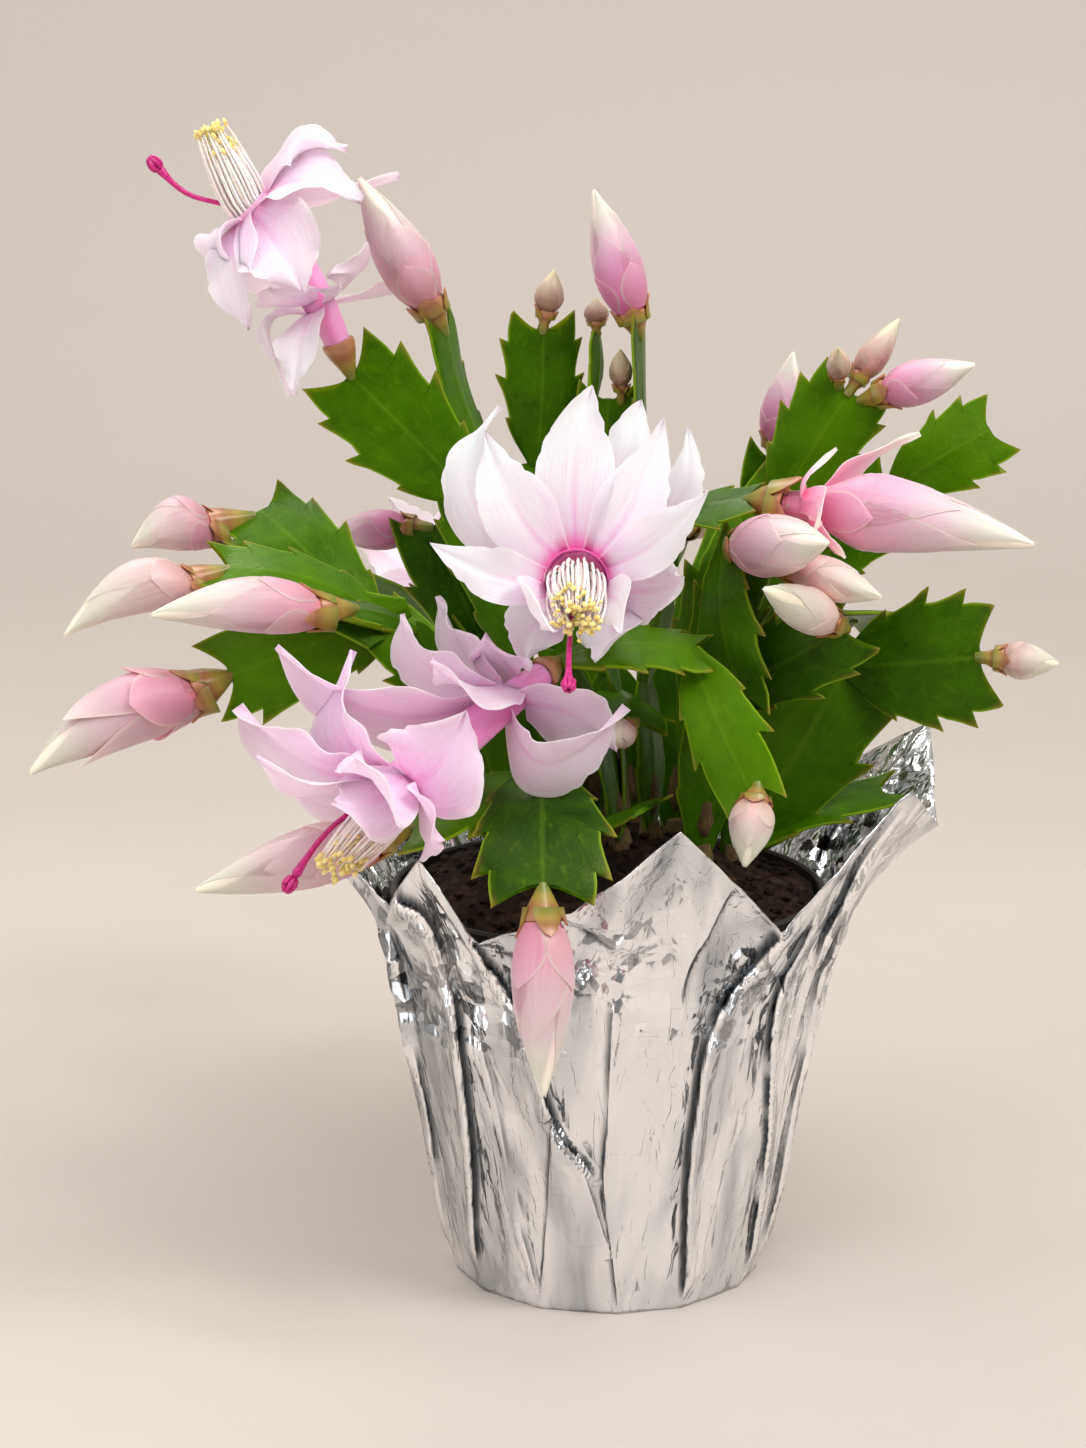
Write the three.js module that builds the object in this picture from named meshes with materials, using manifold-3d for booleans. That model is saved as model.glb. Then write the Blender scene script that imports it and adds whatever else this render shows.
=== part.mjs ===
// A Christmas cactus in flower. Arching chains of flat toothed pads stand in peat, in a tapered
// growing pot that is dressed in a flared silver foil sleeve. Buds and open flowers end the chains.
// Millimetres. +Z is up, the origin is the middle of the sleeve's flat base, and the side that is
// usually looked at faces -Y.
import * as THREE from "three";
import { mergeVertices } from "three/addons/utils/BufferGeometryUtils.js";
import Module from "manifold-3d";

const wasm = await Module();
wasm.setup();

// Driving dimensions
const clearance = 0.3;
const joinTolerance = 0.03;
const potHeight = 104;
const potBaseRadius = 38.6;
const potRimRadius = 57;
const potLipHeight = 16;
const potWall = 1.5;
const potFloor = 2;
const drainHoleRadius = 3.2;
const drainHoleCount = 5;
const foilBaseRadius = 40.6;
const foilWall = 0.8;
const roundSides = 18;
const soilEdge = 101;
const soilCrown = 118;
const stemDepthInSoil = 12;
const stemRadius = 3.2;
const padEdgeThickness = 0.8;
const padMidThickness = 2.8;
const petalThickness = 0.7;
const filamentRadius = 0.42;
const filamentsPerFlower = 7;

const materials = {
  foil: new THREE.MeshStandardMaterial({ color: 0xc9c6c2, roughness: 0.2, metalness: 1 }),
  pot: new THREE.MeshStandardMaterial({ color: 0x2b2624, roughness: 0.6, metalness: 0 }),
  soil: new THREE.MeshStandardMaterial({ color: 0x2a1c14, roughness: 0.95, metalness: 0 }),
  stem: new THREE.MeshStandardMaterial({ color: 0x3f7a17, roughness: 0.35, metalness: 0 }),
  bud: new THREE.MeshStandardMaterial({ color: 0xf1b9bd, roughness: 0.45, metalness: 0 }),
  petal: new THREE.MeshStandardMaterial({ color: 0xf3cfe6, roughness: 0.5, metalness: 0 }),
  filament: new THREE.MeshStandardMaterial({ color: 0xf7eedd, roughness: 0.5, metalness: 0 }),
  style: new THREE.MeshStandardMaterial({ color: 0xc40a7a, roughness: 0.4, metalness: 0 }),
};

// The foil's upper edge, tip by tip and notch by notch, going round from the viewer's side to the
// right: turn in degrees, distance out from the axis, height.
const foilRim = [
  [-103, 90, 124], [-88, 81, 112], [-71, 79, 125], [-50, 72, 111], [-39, 76, 126], [-28, 70, 105],
  [-8, 74, 116], [12, 79, 137], [36, 70, 107], [61, 85, 139], [92, 86, 119], [113, 95, 139],
  [136, 81, 116], [160, 88, 135], [184, 78, 113], [208, 86, 133], [232, 80, 115],
];

// Each leafy stem stands at root (x, y) in the soil. A pad grows from the tip of the pad it is on,
// or from the woody foot, to its own tip. slide moves its start sideways along that tip, wide is
// its greatest width, face the way its front looks, and arch how far it bows towards its face, as a
// share of its length. outline says how it is toothed.
const stems = [
  { name: "stem_top_left", root: [-12, 12], pads: [
    { id: "foot", to: [-22, 12, 162], wide: 15, face: [-0.3, -1, 0], outline: "plain" },
    { id: "middle", on: "foot", to: [-36, 14, 205], wide: 25, face: [-0.4, -1, 0.1] },
    { id: "tip", on: "middle", to: [-67, 10, 237], wide: 32, face: [0.12, -1, 0.12], arch: 0.05 },
  ] },
  { name: "stem_top", root: [-2, 21], pads: [
    { id: "foot", to: [-14, 22, 163], wide: 14, face: [0.5, -1, 0], outline: "plain" },
    { id: "left", on: "foot", to: [-30, 26, 209], wide: 17, face: [1, -0.5, 0.1],
      outline: "plain", slide: -3 },
    { id: "leftTip", on: "left", to: [-43, 21, 247], wide: 19, face: [0.92, -0.36, 0], arch: -0.05,
      outline: "simple" },
    { id: "right", on: "foot", to: [-19, 30, 212], wide: 20, face: [0.1, -1, 0.1],
      outline: "plain", slide: 3 },
    { id: "rightTip", on: "right", to: [-17, 26, 247], wide: 24, face: [0.3, -1, 0.1], arch: 0.04 },
  ] },
  { name: "stem_top_mid", root: [8, 15], pads: [
    { id: "foot", to: [1, 24, 157], wide: 14, face: [0, -1, 0], outline: "plain" },
    { id: "middle", on: "foot", to: [2, 28, 196], wide: 18, face: [0.2, -1, 0], outline: "plain" },
    { id: "front", on: "middle", to: [0, 24, 229], wide: 21, face: [0, -1, 0.1],
      outline: "simple", slide: -3 },
    { id: "narrow", on: "front", to: [-3, 32, 245], wide: 9, face: [1, -0.5, 0], outline: "plain",
      slide: -4 },
    { id: "tall", on: "middle", to: [8, 20, 246], wide: 18, face: [1, -0.25, 0], arch: 0.03,
      outline: "simple", slide: 4 },
  ] },
  { name: "stem_right_upper", root: [18, 13], pads: [
    { id: "foot", to: [18, 22, 160], wide: 15, face: [0.3, -1, 0], outline: "plain" },
    { id: "middle", on: "foot", to: [46, 26, 202], wide: 24, face: [-0.1, -1, 0.2], outline: "simple" },
    { id: "tip", on: "middle", to: [63, 22, 231], wide: 28, face: [-0.12, -1, 0.15], arch: 0.05 },
  ] },
  { name: "stem_right_far", root: [25, 24], pads: [
    { id: "foot", to: [28, 38, 145], wide: 14, face: [0.6, -1, 0], outline: "plain" },
    { id: "middle", on: "foot", to: [53, 41, 178], wide: 20, face: [0, -1, 0.3],
      outline: "plain", slide: 3 },
    { id: "outer", on: "middle", to: [77, 44, 202], wide: 25, face: [0.1, -1, 0.4], outline: "simple" },
    { id: "outerTip", on: "outer", to: [103, 43, 218], wide: 25, face: [0, -1, 0.45], arch: 0.06 },
    { id: "inner", on: "foot", to: [40, 50, 177], wide: 17, face: [0.1, -1, 0], outline: "plain",
      slide: -4 },
    { id: "innerTip", on: "inner", to: [45, 49, 210], wide: 20, face: [0.3, -1, 0.1], outline: "simple" },
  ] },
  { name: "stem_middle", root: [11, -1], pads: [
    { id: "foot", to: [9, -2, 160], wide: 12, face: [1, -0.6, 0], outline: "plain" },
    { id: "middle", on: "foot", to: [15, -8, 203], wide: 14, face: [1, -0.9, 0], outline: "plain" },
    { id: "tip", on: "middle", to: [35, -15, 208], wide: 20, face: [-0.2, -0.35, 1], outline: "simple" },
  ] },
  { name: "stem_right_mid", root: [24, -9], pads: [
    { id: "foot", to: [25, -13, 157], wide: 14, face: [0.5, -1, 0], outline: "plain" },
    { id: "upper", on: "foot", to: [34, -18, 196], wide: 20, face: [-0.3, -1, 0.1], slide: -2,
      outline: "simple" },
    { id: "hanging", on: "upper", to: [33, -34, 160], wide: 22, face: [-0.7, -0.7, 0.2], arch: 0.1,
      slide: -5 },
    { id: "inner", on: "foot", to: [39, 5, 196], wide: 28, face: [-0.1, -1, 0.2], slide: -5,
      outline: "simple" },
    { id: "outer", on: "foot", to: [59, -29, 178], wide: 25, face: [-0.2, -1, 0.15], arch: 0.08, slide: 4 },
  ] },
  { name: "stem_right_low", root: [33, 2], pads: [
    { id: "broad", to: [62, 0, 163], wide: 38, face: [0.05, -1, 0.05], arch: 0.05 },
    { id: "broadTip", on: "broad", to: [95, -12, 167], wide: 38, face: [0.05, -1, 0.12], arch: 0.04 },
    { id: "long", to: [73, 8, 127], wide: 20, face: [-0.2, -0.3, 1], arch: 0.08, outline: "simple" },
  ] },
  { name: "stem_front", root: [-9, -18], pads: [
    { id: "shoulder", to: [-16, -44, 145], wide: 20, face: [0.1, -0.4, 1], outline: "plain" },
    { id: "hanging", on: "shoulder", to: [-17, -79, 124], wide: 35, face: [0, -0.5, 0.85], arch: 0.1,
      slide: 2 },
    { id: "left", on: "shoulder", to: [-50, -56, 133], wide: 25, face: [0, -0.3, 1], arch: 0.06, slide: -5,
      outline: "simple" },
    { id: "right", to: [8, -42, 134], wide: 20, face: [0.2, -0.5, 0.8], arch: 0.08, outline: "simple" },
  ] },
  { name: "stem_centre", root: [3, -10], pads: [
    { id: "foot", to: [-3, -24, 151], wide: 12, face: [1, -0.3, 0], outline: "plain" },
    { id: "low", on: "foot", to: [-13, -35, 171], wide: 14, face: [0.6, -0.5, 0.5], outline: "plain" },
    { id: "upright", to: [2, -10, 158], wide: 12, face: [1, 0, 0], outline: "plain" },
    { id: "high", on: "upright", to: [-5, -12, 182], wide: 15, face: [1, -0.2, 0], outline: "plain" },
    { id: "lying", on: "low", to: [21, -37, 173], wide: 24, face: [0.1, -0.35, 1], arch: 0.1 },
    { id: "hanging", on: "lying", to: [34, -55, 142], wide: 21, face: [-0.45, -0.8, 0.5], arch: 0.08,
      outline: "simple" },
    { id: "short", on: "upright", to: [6, -32, 154], wide: 23, face: [0.3, -0.2, 1], outline: "simple" },
  ] },
  { name: "stem_left", root: [-23, -3], pads: [
    { id: "foot", to: [-35, -7, 152], wide: 15, face: [-0.3, -1, 0.2], outline: "plain" },
    { id: "middle", on: "foot", to: [-57, -8, 175], wide: 21, face: [0.3, -1, 0.5], outline: "simple" },
    { id: "upper", on: "middle", to: [-91, 13, 201], wide: 31, face: [0.2, -0.7, 0.75], arch: 0.08,
      slide: -6 },
    { id: "centre", on: "middle", to: [-98, -14, 190], wide: 27, face: [0.1, -0.45, 0.9], arch: 0.12 },
    { id: "lower", on: "middle", to: [-98, -8, 161], wide: 31, face: [0, -1, 0.15], arch: 0.06, slide: 6 },
    { id: "front", on: "foot", to: [-50, -25, 177], wide: 15, face: [0.5, -0.6, 0.5], outline: "plain",
      slide: -3 },
    { id: "frontTip", on: "front", to: [-64, -36, 184], wide: 14, face: [0.3, -0.3, 1], outline: "simple" },
  ] },
  { name: "stem_back_left", root: [-20, 22], pads: [
    { id: "foot", to: [-33, 33, 152], wide: 15, face: [0.5, -1, 0.2], outline: "plain" },
    { id: "tall", on: "foot", to: [-48, 43, 192], wide: 25, face: [0.4, -1, 0.2], slide: 3,
      outline: "simple" },
    { id: "outer", on: "foot", to: [-64, 52, 172], wide: 27, face: [0.4, 0.7, 0.7], arch: 0.06, slide: 3,
      outline: "simple" },
    { id: "outerTip", on: "outer", to: [-94, 68, 164], wide: 29, face: [0.1, 0.6, 0.8], arch: 0.1 },
  ] },
  { name: "stem_back", root: [0, 34], pads: [
    { id: "foot", to: [0, 54, 152], wide: 17, face: [0, 0.6, 0.6], outline: "plain" },
    { id: "left", on: "foot", to: [-22, 84, 182], wide: 28, face: [0.1, 0.7, 0.7], arch: 0.06,
      outline: "simple", slide: 5 },
    { id: "right", on: "foot", to: [22, 84, 184], wide: 28, face: [-0.1, 0.7, 0.7], arch: 0.05,
      outline: "simple", slide: -5 },
    { id: "low", on: "foot", to: [4, 97, 158], wide: 28, face: [0, 0.35, 1], arch: 0.1, outline: "simple" },
    { id: "leftTip", on: "left", to: [-38, 116, 168], wide: 28, face: [0, 0.5, 1], arch: 0.14,
      outline: "simple" },
  ] },
  { name: "stem_back_right", root: [19, 38], pads: [
    { id: "foot", to: [36, 54, 146], wide: 15, face: [-0.4, 0.5, 1], outline: "plain" },
    { id: "outer", on: "foot", to: [66, 68, 163], wide: 29, face: [-0.2, 0.6, 0.8], arch: 0.08,
      outline: "simple", slide: -4 },
    { id: "outerTip", on: "outer", to: [92, 84, 148], wide: 29, face: [0.2, 0.5, 1], arch: 0.1 },
    { id: "rear", on: "foot", to: [52, 92, 168], wide: 27, face: [0.2, 0.5, 1], arch: 0.08,
      outline: "simple", slide: 4 },
  ] },
];

// Each bud grows from a pad's tip in a green cup and ends at to. slide moves its foot sideways
// along the pad's end, and rise bows the bud upwards in the middle.
const buds = [
  { name: "bud_top_left", on: ["stem_top", "leftTip"], to: [-64, 16, 286], wide: 14.5, cup: 9 },
  { name: "bud_top", on: ["stem_top_mid", "tall"], to: [-4, 18, 283], wide: 13, cup: 7 },
  { name: "bud_crown_left", on: ["stem_top", "rightTip"], to: [-14, 25, 262], wide: 7.5, cup: 5 },
  { name: "bud_crown_mid", on: ["stem_top_mid", "narrow"], to: [-3, 32, 254], wide: 6.5, cup: 3 },
  { name: "bud_crown_low", on: ["stem_top_mid", "front"], to: [3, 19, 242], wide: 6, cup: 4.5,
    slide: 3.5 },
  { name: "bud_right_upper_small", on: ["stem_right_upper", "tip"], to: [59, 14, 243], wide: 6,
    cup: 4, slide: -3 },
  { name: "bud_right_upper_mid", on: ["stem_right_upper", "tip"], to: [76, 27, 249], wide: 8,
    cup: 5.5, slide: 0 },
  { name: "bud_right_upper", on: ["stem_right_upper", "tip"], to: [94, 11, 239], wide: 11.5,
    cup: 7, slide: 4 },
  { name: "bud_right_far", on: ["stem_right_far", "innerTip"], to: [50, 48, 238], wide: 11, cup: 4 },
  { name: "bud_opening", on: ["stem_middle", "tip"], to: [104, -37, 200], wide: 19.5, cup: 9, rise: 2,
    waist: 0.5, petals: [
      [0.1, [48, -22, 214], [56, -23, 222], 7],
      [0.12, [62, -14, 217], [78, -10, 224], 8],
      [0.04, [51, -30, 209], [49, -37, 202], 9],
      [0.08, [53, -28, 200], [58, -31, 196], 7],
    ] },
  { name: "bud_right_near", on: ["stem_right_mid", "upper"], to: [51, -62, 205], wide: 15.5, cup: 6,
    slide: -3 },
  { name: "bud_right_under", on: ["stem_right_mid", "upper"], to: [66, -42, 188], wide: 11,
    cup: 12, slide: 4 },
  { name: "bud_right_cream", on: ["stem_right_mid", "outer"], to: [36, -57, 193], wide: 11, cup: 8 },
  { name: "bud_right_side", on: ["stem_right_low", "broadTip"], to: [114, -16, 166], wide: 9.5, cup: 6 },
  { name: "bud_hanging_small", on: ["stem_centre", "hanging"], to: [32, -62, 125], wide: 11, cup: 3.5,
    slide: -2 },
  { name: "bud_centre_small", on: ["stem_centre", "short"], to: [-1, -41, 151], wide: 7.5, cup: 3 },
  { name: "bud_left_upper", on: ["stem_left", "upper"], to: [-123, 2, 193], wide: 14.5, cup: 11, rise: 3,
    slide: -3 },
  { name: "bud_left_middle", on: ["stem_left", "centre"], to: [-137, -26, 175], wide: 14, cup: 9,
    rise: 5 },
  { name: "bud_left_front", on: ["stem_left", "frontTip"], to: [-112, -55, 186], wide: 14, cup: 9.5,
    rise: 2 },
  { name: "bud_left_lower", on: ["stem_left", "lower"], to: [-148, -20, 138], wide: 18, cup: 10, rise: 4 },
  { name: "bud_back_left", on: ["stem_back_left", "tall"], to: [-76, 49, 189], wide: 11, cup: 6 },
  { name: "bud_front_left", on: ["stem_front", "left"], to: [-101, -73, 122], wide: 15, cup: 9 },
  { name: "bud_front", on: ["stem_front", "hanging"], to: [-17, -91, 76], wide: 15, cup: 8 },
  { name: "bud_behind_left", on: ["stem_back_left", "outerTip"], to: [-108, 88, 150], wide: 12, cup: 6 },
  { name: "bud_behind", on: ["stem_back", "right"], to: [34, 116, 188], wide: 13, cup: 9 },
  { name: "bud_behind_low", on: ["stem_back", "low"], to: [6, 132, 142], wide: 13.5, cup: 10, rise: 3 },
  { name: "bud_behind_right", on: ["stem_back_right", "outerTip"], to: [103, 112, 132], wide: 12.5,
    cup: 9, rise: 2 },
];

// Each flower grows from a pad's tip in a green cup. Its tube runs from the cup past bend to the
// mouth. A petal is [share, via, tip, width]: it leaves the tube at that share of its length and
// passes through via to its tip.
const flowers = [
  { name: "flower_centre", on: ["stem_centre", "high"], bend: [-8, -34, 190], mouth: [-9, -53, 194],
    cup: 6, tubeRadius: 8, styleTo: [-11, -82, 173], styleBow: [-0.2, -0.3, -1],
    anthersTo: [-9, -70, 188],
    petals: [
      [0.95, [-9, -50, 223], [-5, -44, 240], 21],
      [0.95, [5, -54, 214], [12, -49, 233], 19],
      [0.95, [10, -60, 205], [22, -66, 218], 15],
      [0.95, [1, -66, 191], [1, -77, 186], 14],
      [0.95, [-20, -68, 191], [-14, -80, 187], 15],
      [0.95, [-29, -60, 197], [-44, -62, 205], 15],
      [0.95, [-24, -54, 213], [-31, -49, 230], 20],
      [0.4, [-34, -40, 212], [-28, -33, 234], 18],
      [0.4, [2, -38, 219], [7, -27, 234], 18],
      [0.4, [15, -44, 211], [18, -37, 229], 14],
      [0.4, [11, -48, 191], [16, -57, 196], 19],
      [0.4, [0, -45, 180], [-5, -54, 175], 19],
      [0.4, [-20, -43, 180], [-21, -50, 173], 17],
    ] },
  { name: "flower_top_left", on: ["stem_top_left", "tip"], bend: [-77, 7.5, 264], mouth: [-92, 4, 280],
    cup: 9, tubeRadius: 6.5, styleTo: [-116, 2, 292], styleBow: [-0.5, 0, -1], anthersTo: [-100, 4, 298],
    petals: [
      [0.96, [-79, 8, 293], [-66, 2, 295], 23],
      [0.96, [-76, -4, 287], [-62, -8, 282], 23],
      [0.96, [-73, 21, 281], [-54, 27, 286], 15],
      [0.96, [-99, -3, 271], [-97, 2, 258], 15],
      [0.96, [-94, -10, 266], [-91, -12, 250], 20],
      [0.96, [-82, -15, 271], [-76, -19, 260], 22],
      [0.96, [-90, 18, 266], [-84, 27, 255], 20],
      [0.22, [-87, 6, 249], [-81, 2, 232], 15],
      [0.24, [-78, -8, 246], [-79, -13, 234], 13],
      [0.26, [-65, -2, 263], [-70, -13, 264], 17],
      [0.3, [-82, -4, 257], [-85, -12, 261], 15],
      [0.22, [-62, 25, 255], [-54, 34, 256], 14],
    ] },
  { name: "flower_left", on: ["stem_centre", "low"], bend: [-34, -58, 159], mouth: [-52, -75, 147],
    cup: 7, tubeRadius: 6.5, styleTo: [-79, -86, 124], styleBow: [-1, -0.1, 0.5], anthersTo: [-66, -84, 131],
    petals: [
      [0.96, [-58, -90, 148], [-66, -97, 150], 16],
      [0.96, [-56, -91, 153], [-60, -96, 162], 19],
      [0.96, [-44, -85, 142], [-41, -92, 139], 19],
      [0.96, [-42, -84, 156], [-35, -84, 169], 24],
      [0.96, [-73, -70, 152], [-90, -66, 166], 22],
      [0.96, [-70, -84, 151], [-84, -90, 159], 14],
      [0.96, [-65, -70, 162], [-63, -62, 179], 22],
      [0.3, [-56, -60, 163], [-81, -66, 180], 20],
      [0.25, [-45, -45, 171], [-52, -43, 184], 19],
      [0.2, [-36, -36, 172], [-44, -25, 185], 18],
      [0.12, [-27, -45, 173], [-31, -52, 180], 17],
      [0.2, [-34, -60, 169], [-44, -67, 177], 17],
      [0.3, [-15, -63, 151], [3, -62, 165], 17],
      [0.2, [-9, -52, 160], [1, -50, 151], 20],
    ] },
  { name: "flower_behind", on: ["stem_back", "leftTip"], bend: [-44, 134, 158], mouth: [-45, 150, 148],
    cup: 8, tubeRadius: 6.5, styleTo: [-46, 178, 130], styleBow: [0, -0.2, -1], anthersTo: [-45, 168, 140],
    petals: [
      [0.96, [-45, 160, 167], [-43, 154, 183], 19],
      [0.96, [-30, 162, 160], [-16, 158, 170], 18],
      [0.96, [-27, 160, 148], [-10, 158, 143], 17],
      [0.96, [-37, 160, 135], [-30, 160, 120], 18],
      [0.96, [-54, 160, 134], [-62, 160, 121], 18],
      [0.96, [-63, 160, 148], [-80, 158, 143], 17],
      [0.96, [-60, 162, 160], [-74, 158, 170], 18],
      [0.3, [-36, 130, 174], [-28, 118, 187], 16],
      [0.3, [-54, 132, 174], [-62, 121, 187], 16],
      [0.3, [-27, 134, 156], [-12, 124, 158], 16],
      [0.3, [-62, 134, 156], [-77, 125, 158], 16],
    ] },
];

// Small helpers
const vector = (p) => new THREE.Vector3(...p);
const radians = THREE.MathUtils.degToRad;
const mix = THREE.MathUtils.lerp;

function seeded(seed) {
  let state = seed >>> 0;
  return () => {
    state = (state * 1664525 + 1013904223) >>> 0;
    return state / 4294967296;
  };
}

// A closed triangle mesh, as points and faces, made a solid that can be joined and cut.
function solidFrom(points, faces) {
  const made = new THREE.BufferGeometry();
  const flat = faces.flatMap((face) => face.flatMap((corner) => points[corner].toArray()));
  made.setAttribute("position", new THREE.Float32BufferAttribute(flat, 3));
  return solidOf(made);
}

function solidOf(geometry) {
  const bare = geometry.index ? geometry.toNonIndexed() : geometry.clone();
  bare.deleteAttribute("normal");
  bare.deleteAttribute("uv");
  const merged = mergeVertices(bare, 1e-4);
  const made = new wasm.Manifold(new wasm.Mesh({
    numProp: 3,
    vertProperties: merged.attributes.position.array,
    triVerts: new Uint32Array(merged.index.array),
  }));
  if (made.volume() > 0) return made;
  const turned = new Uint32Array(merged.index.array);
  for (let i = 0; i < turned.length; i += 3) {
    [turned[i + 1], turned[i + 2]] = [turned[i + 2], turned[i + 1]];
  }
  return new wasm.Manifold(new wasm.Mesh({
    numProp: 3,
    vertProperties: merged.attributes.position.array,
    triVerts: turned,
  }));
}

function meshOf(name, solid, material) {
  const { vertProperties, triVerts, numProp } = solid.getMesh();
  const geometry = new THREE.BufferGeometry();
  const count = vertProperties.length / numProp;
  const positions = new Float32Array(count * 3);
  for (let i = 0; i < count; i++) {
    positions.set(vertProperties.subarray(i * numProp, i * numProp + 3), i * 3);
  }
  geometry.setAttribute("position", new THREE.BufferAttribute(positions, 3));
  geometry.setIndex(new THREE.BufferAttribute(triVerts, 1));
  geometry.computeVertexNormals();
  const mesh = new THREE.Mesh(geometry, material);
  mesh.name = name;
  return mesh;
}

const joined = (solids) => wasm.Manifold.union(solids).simplify(joinTolerance);

// A thin blade. right, left and rib are lists of { at, normal, half } from foot to tip: a point of
// its middle surface, the way it faces and half its thickness there. hold says for each edge point
// which rib point its triangles reach, and the last rib point is the tip.
function blade(right, left, rib, hold) {
  const all = [...right, ...left, ...rib];
  const points = all.flatMap(({ at, normal, half }) => [
    at.clone().addScaledVector(normal, half),
    at.clone().addScaledVector(normal, -half),
  ]);
  const count = right.length;
  const ribStart = 2 * count;
  const upper = [];
  for (const [start, flip] of [[0, false], [count, true]]) {
    const add = (a, b, c) => upper.push(flip ? [a, c, b] : [a, b, c]);
    for (let k = 0; k < count; k++) {
      const next = k + 1 < count ? hold[k + 1] : rib.length - 1;
      const reach = k + 1 < count ? start + k + 1 : start + k;
      if (k + 1 < count) add(ribStart + hold[k], start + k, start + k + 1);
      for (let m = hold[k]; m < next; m++) add(ribStart + m, reach, ribStart + m + 1);
    }
  }
  const faces = upper.flatMap(([a, b, c]) => [[2 * a, 2 * b, 2 * c], [2 * a + 1, 2 * c + 1, 2 * b + 1]]);
  const edge = [ribStart];
  for (let k = 0; k < count; k++) edge.push(k);
  edge.push(ribStart + rib.length - 1);
  for (let k = count - 1; k >= 0; k--) edge.push(count + k);
  edge.forEach((from, k) => {
    const to = edge[(k + 1) % edge.length];
    faces.push([2 * from, 2 * from + 1, 2 * to + 1], [2 * from, 2 * to + 1, 2 * to]);
  });
  return solidFrom(points, faces);
}

// A round body along a line of rings, closed at both ends. A ring is { at, radius, wave, axis },
// where wave shifts every other point along the body, which gives an edge of pointed scales.
function ringed(rings, sides, twist = 0) {
  const points = [];
  const axisAt = (k) => rings[Math.min(k + 1, rings.length - 1)].at.clone()
    .sub(rings[Math.max(k - 1, 0)].at).normalize();
  const guide = Math.abs(axisAt(0).z) < 0.9 ? new THREE.Vector3(0, 0, 1) : new THREE.Vector3(1, 0, 0);
  rings.forEach(({ at, radius, wave = 0, axis: given }, k) => {
    const axis = given ?? axisAt(k);
    const side = new THREE.Vector3().crossVectors(axis, guide).normalize();
    const top = new THREE.Vector3().crossVectors(side, axis);
    for (let i = 0; i < sides; i++) {
      const turn = (2 * Math.PI * (i + twist)) / sides;
      points.push(at.clone()
        .addScaledVector(side, radius * Math.cos(turn))
        .addScaledVector(top, radius * Math.sin(turn))
        .addScaledVector(axis, i % 2 ? wave : -wave));
    }
  });
  points.push(rings[0].at.clone(), rings.at(-1).at.clone());
  const faces = [];
  const lastRing = (rings.length - 1) * sides;
  for (let i = 0; i < sides; i++) {
    const next = (i + 1) % sides;
    faces.push([points.length - 2, next, i], [points.length - 1, lastRing + i, lastRing + next]);
    for (let k = 0; k + 1 < rings.length; k++) {
      const [a, b] = [k * sides + i, k * sides + next];
      faces.push([a, b, b + sides], [a, b + sides, a + sides]);
    }
  }
  return solidFrom(points, faces);
}

// A body turned about Z whose profile changes round it: profileAt(turn) is a list of [out, up] that
// starts and ends on the axis.
function turned(profileAt, columns = roundSides) {
  const profiles = Array.from({ length: columns }, (_, k) => profileAt((360 * k) / columns));
  const inner = profiles[0].length - 2;
  const points = [];
  profiles.forEach((profile, k) => {
    const turn = radians((360 * k) / columns);
    for (const [out, up] of profile.slice(1, -1)) {
      points.push(new THREE.Vector3(out * Math.sin(turn), -out * Math.cos(turn), up));
    }
  });
  const first = points.push(new THREE.Vector3(0, 0, profiles[0][0][1])) - 1;
  const last = points.push(new THREE.Vector3(0, 0, profiles[0].at(-1)[1])) - 1;
  const faces = [];
  for (let k = 0; k < columns; k++) {
    const [a, b] = [k * inner, ((k + 1) % columns) * inner];
    faces.push([first, b, a], [last, a + inner - 1, b + inner - 1]);
    for (let i = 0; i + 1 < inner; i++) {
      faces.push([a + i, b + i, b + i + 1], [a + i, b + i + 1, a + i + 1]);
    }
  }
  return solidFrom(points, faces);
}

// The soil is domed, and its surface is uneven.
function soilHeight(x, y) {
  const share = Math.min(1, Math.hypot(x, y) / potRimRadius);
  return soilEdge + (soilCrown - soilEdge) * Math.cos((share * Math.PI) / 2) ** 1.3;
}

function makeSoil() {
  const draw = seeded(41);
  const foot = [0, 1.3 + potFloor + clearance];
  const wallAt = (z) => mix(potBaseRadius, potRimRadius - 4, z / (potHeight - potLipHeight)) - potWall - 0.9;
  const shares = [0.92, 0.5];
  let body = turned(() => {
    const top = shares.map((share) => {
      const out = share * (potRimRadius - 4);
      return [out * (1 + 0.03 * (draw() - 0.5)), soilHeight(out, 0) + 2.4 * (draw() - 0.5)];
    });
    return [foot, [wallAt(foot[1]) - 0.4, foot[1]], [wallAt(potHeight - potLipHeight - 1), 84],
      [potRimRadius - 5.6, soilEdge - 2], ...top, [0, soilCrown]];
  });
  for (const { root } of stems) {
    const floor = soilHeight(...root) - stemDepthInSoil - clearance;
    const radius = stemRadius + clearance + 0.5;
    const hole = new THREE.CylinderGeometry(radius, radius, 60, 6);
    hole.rotateX(Math.PI / 2);
    hole.translate(root[0], root[1], floor + 30);
    body = body.subtract(solidOf(hole));
  }
  return meshOf("soil", body, materials.soil);
}

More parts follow.
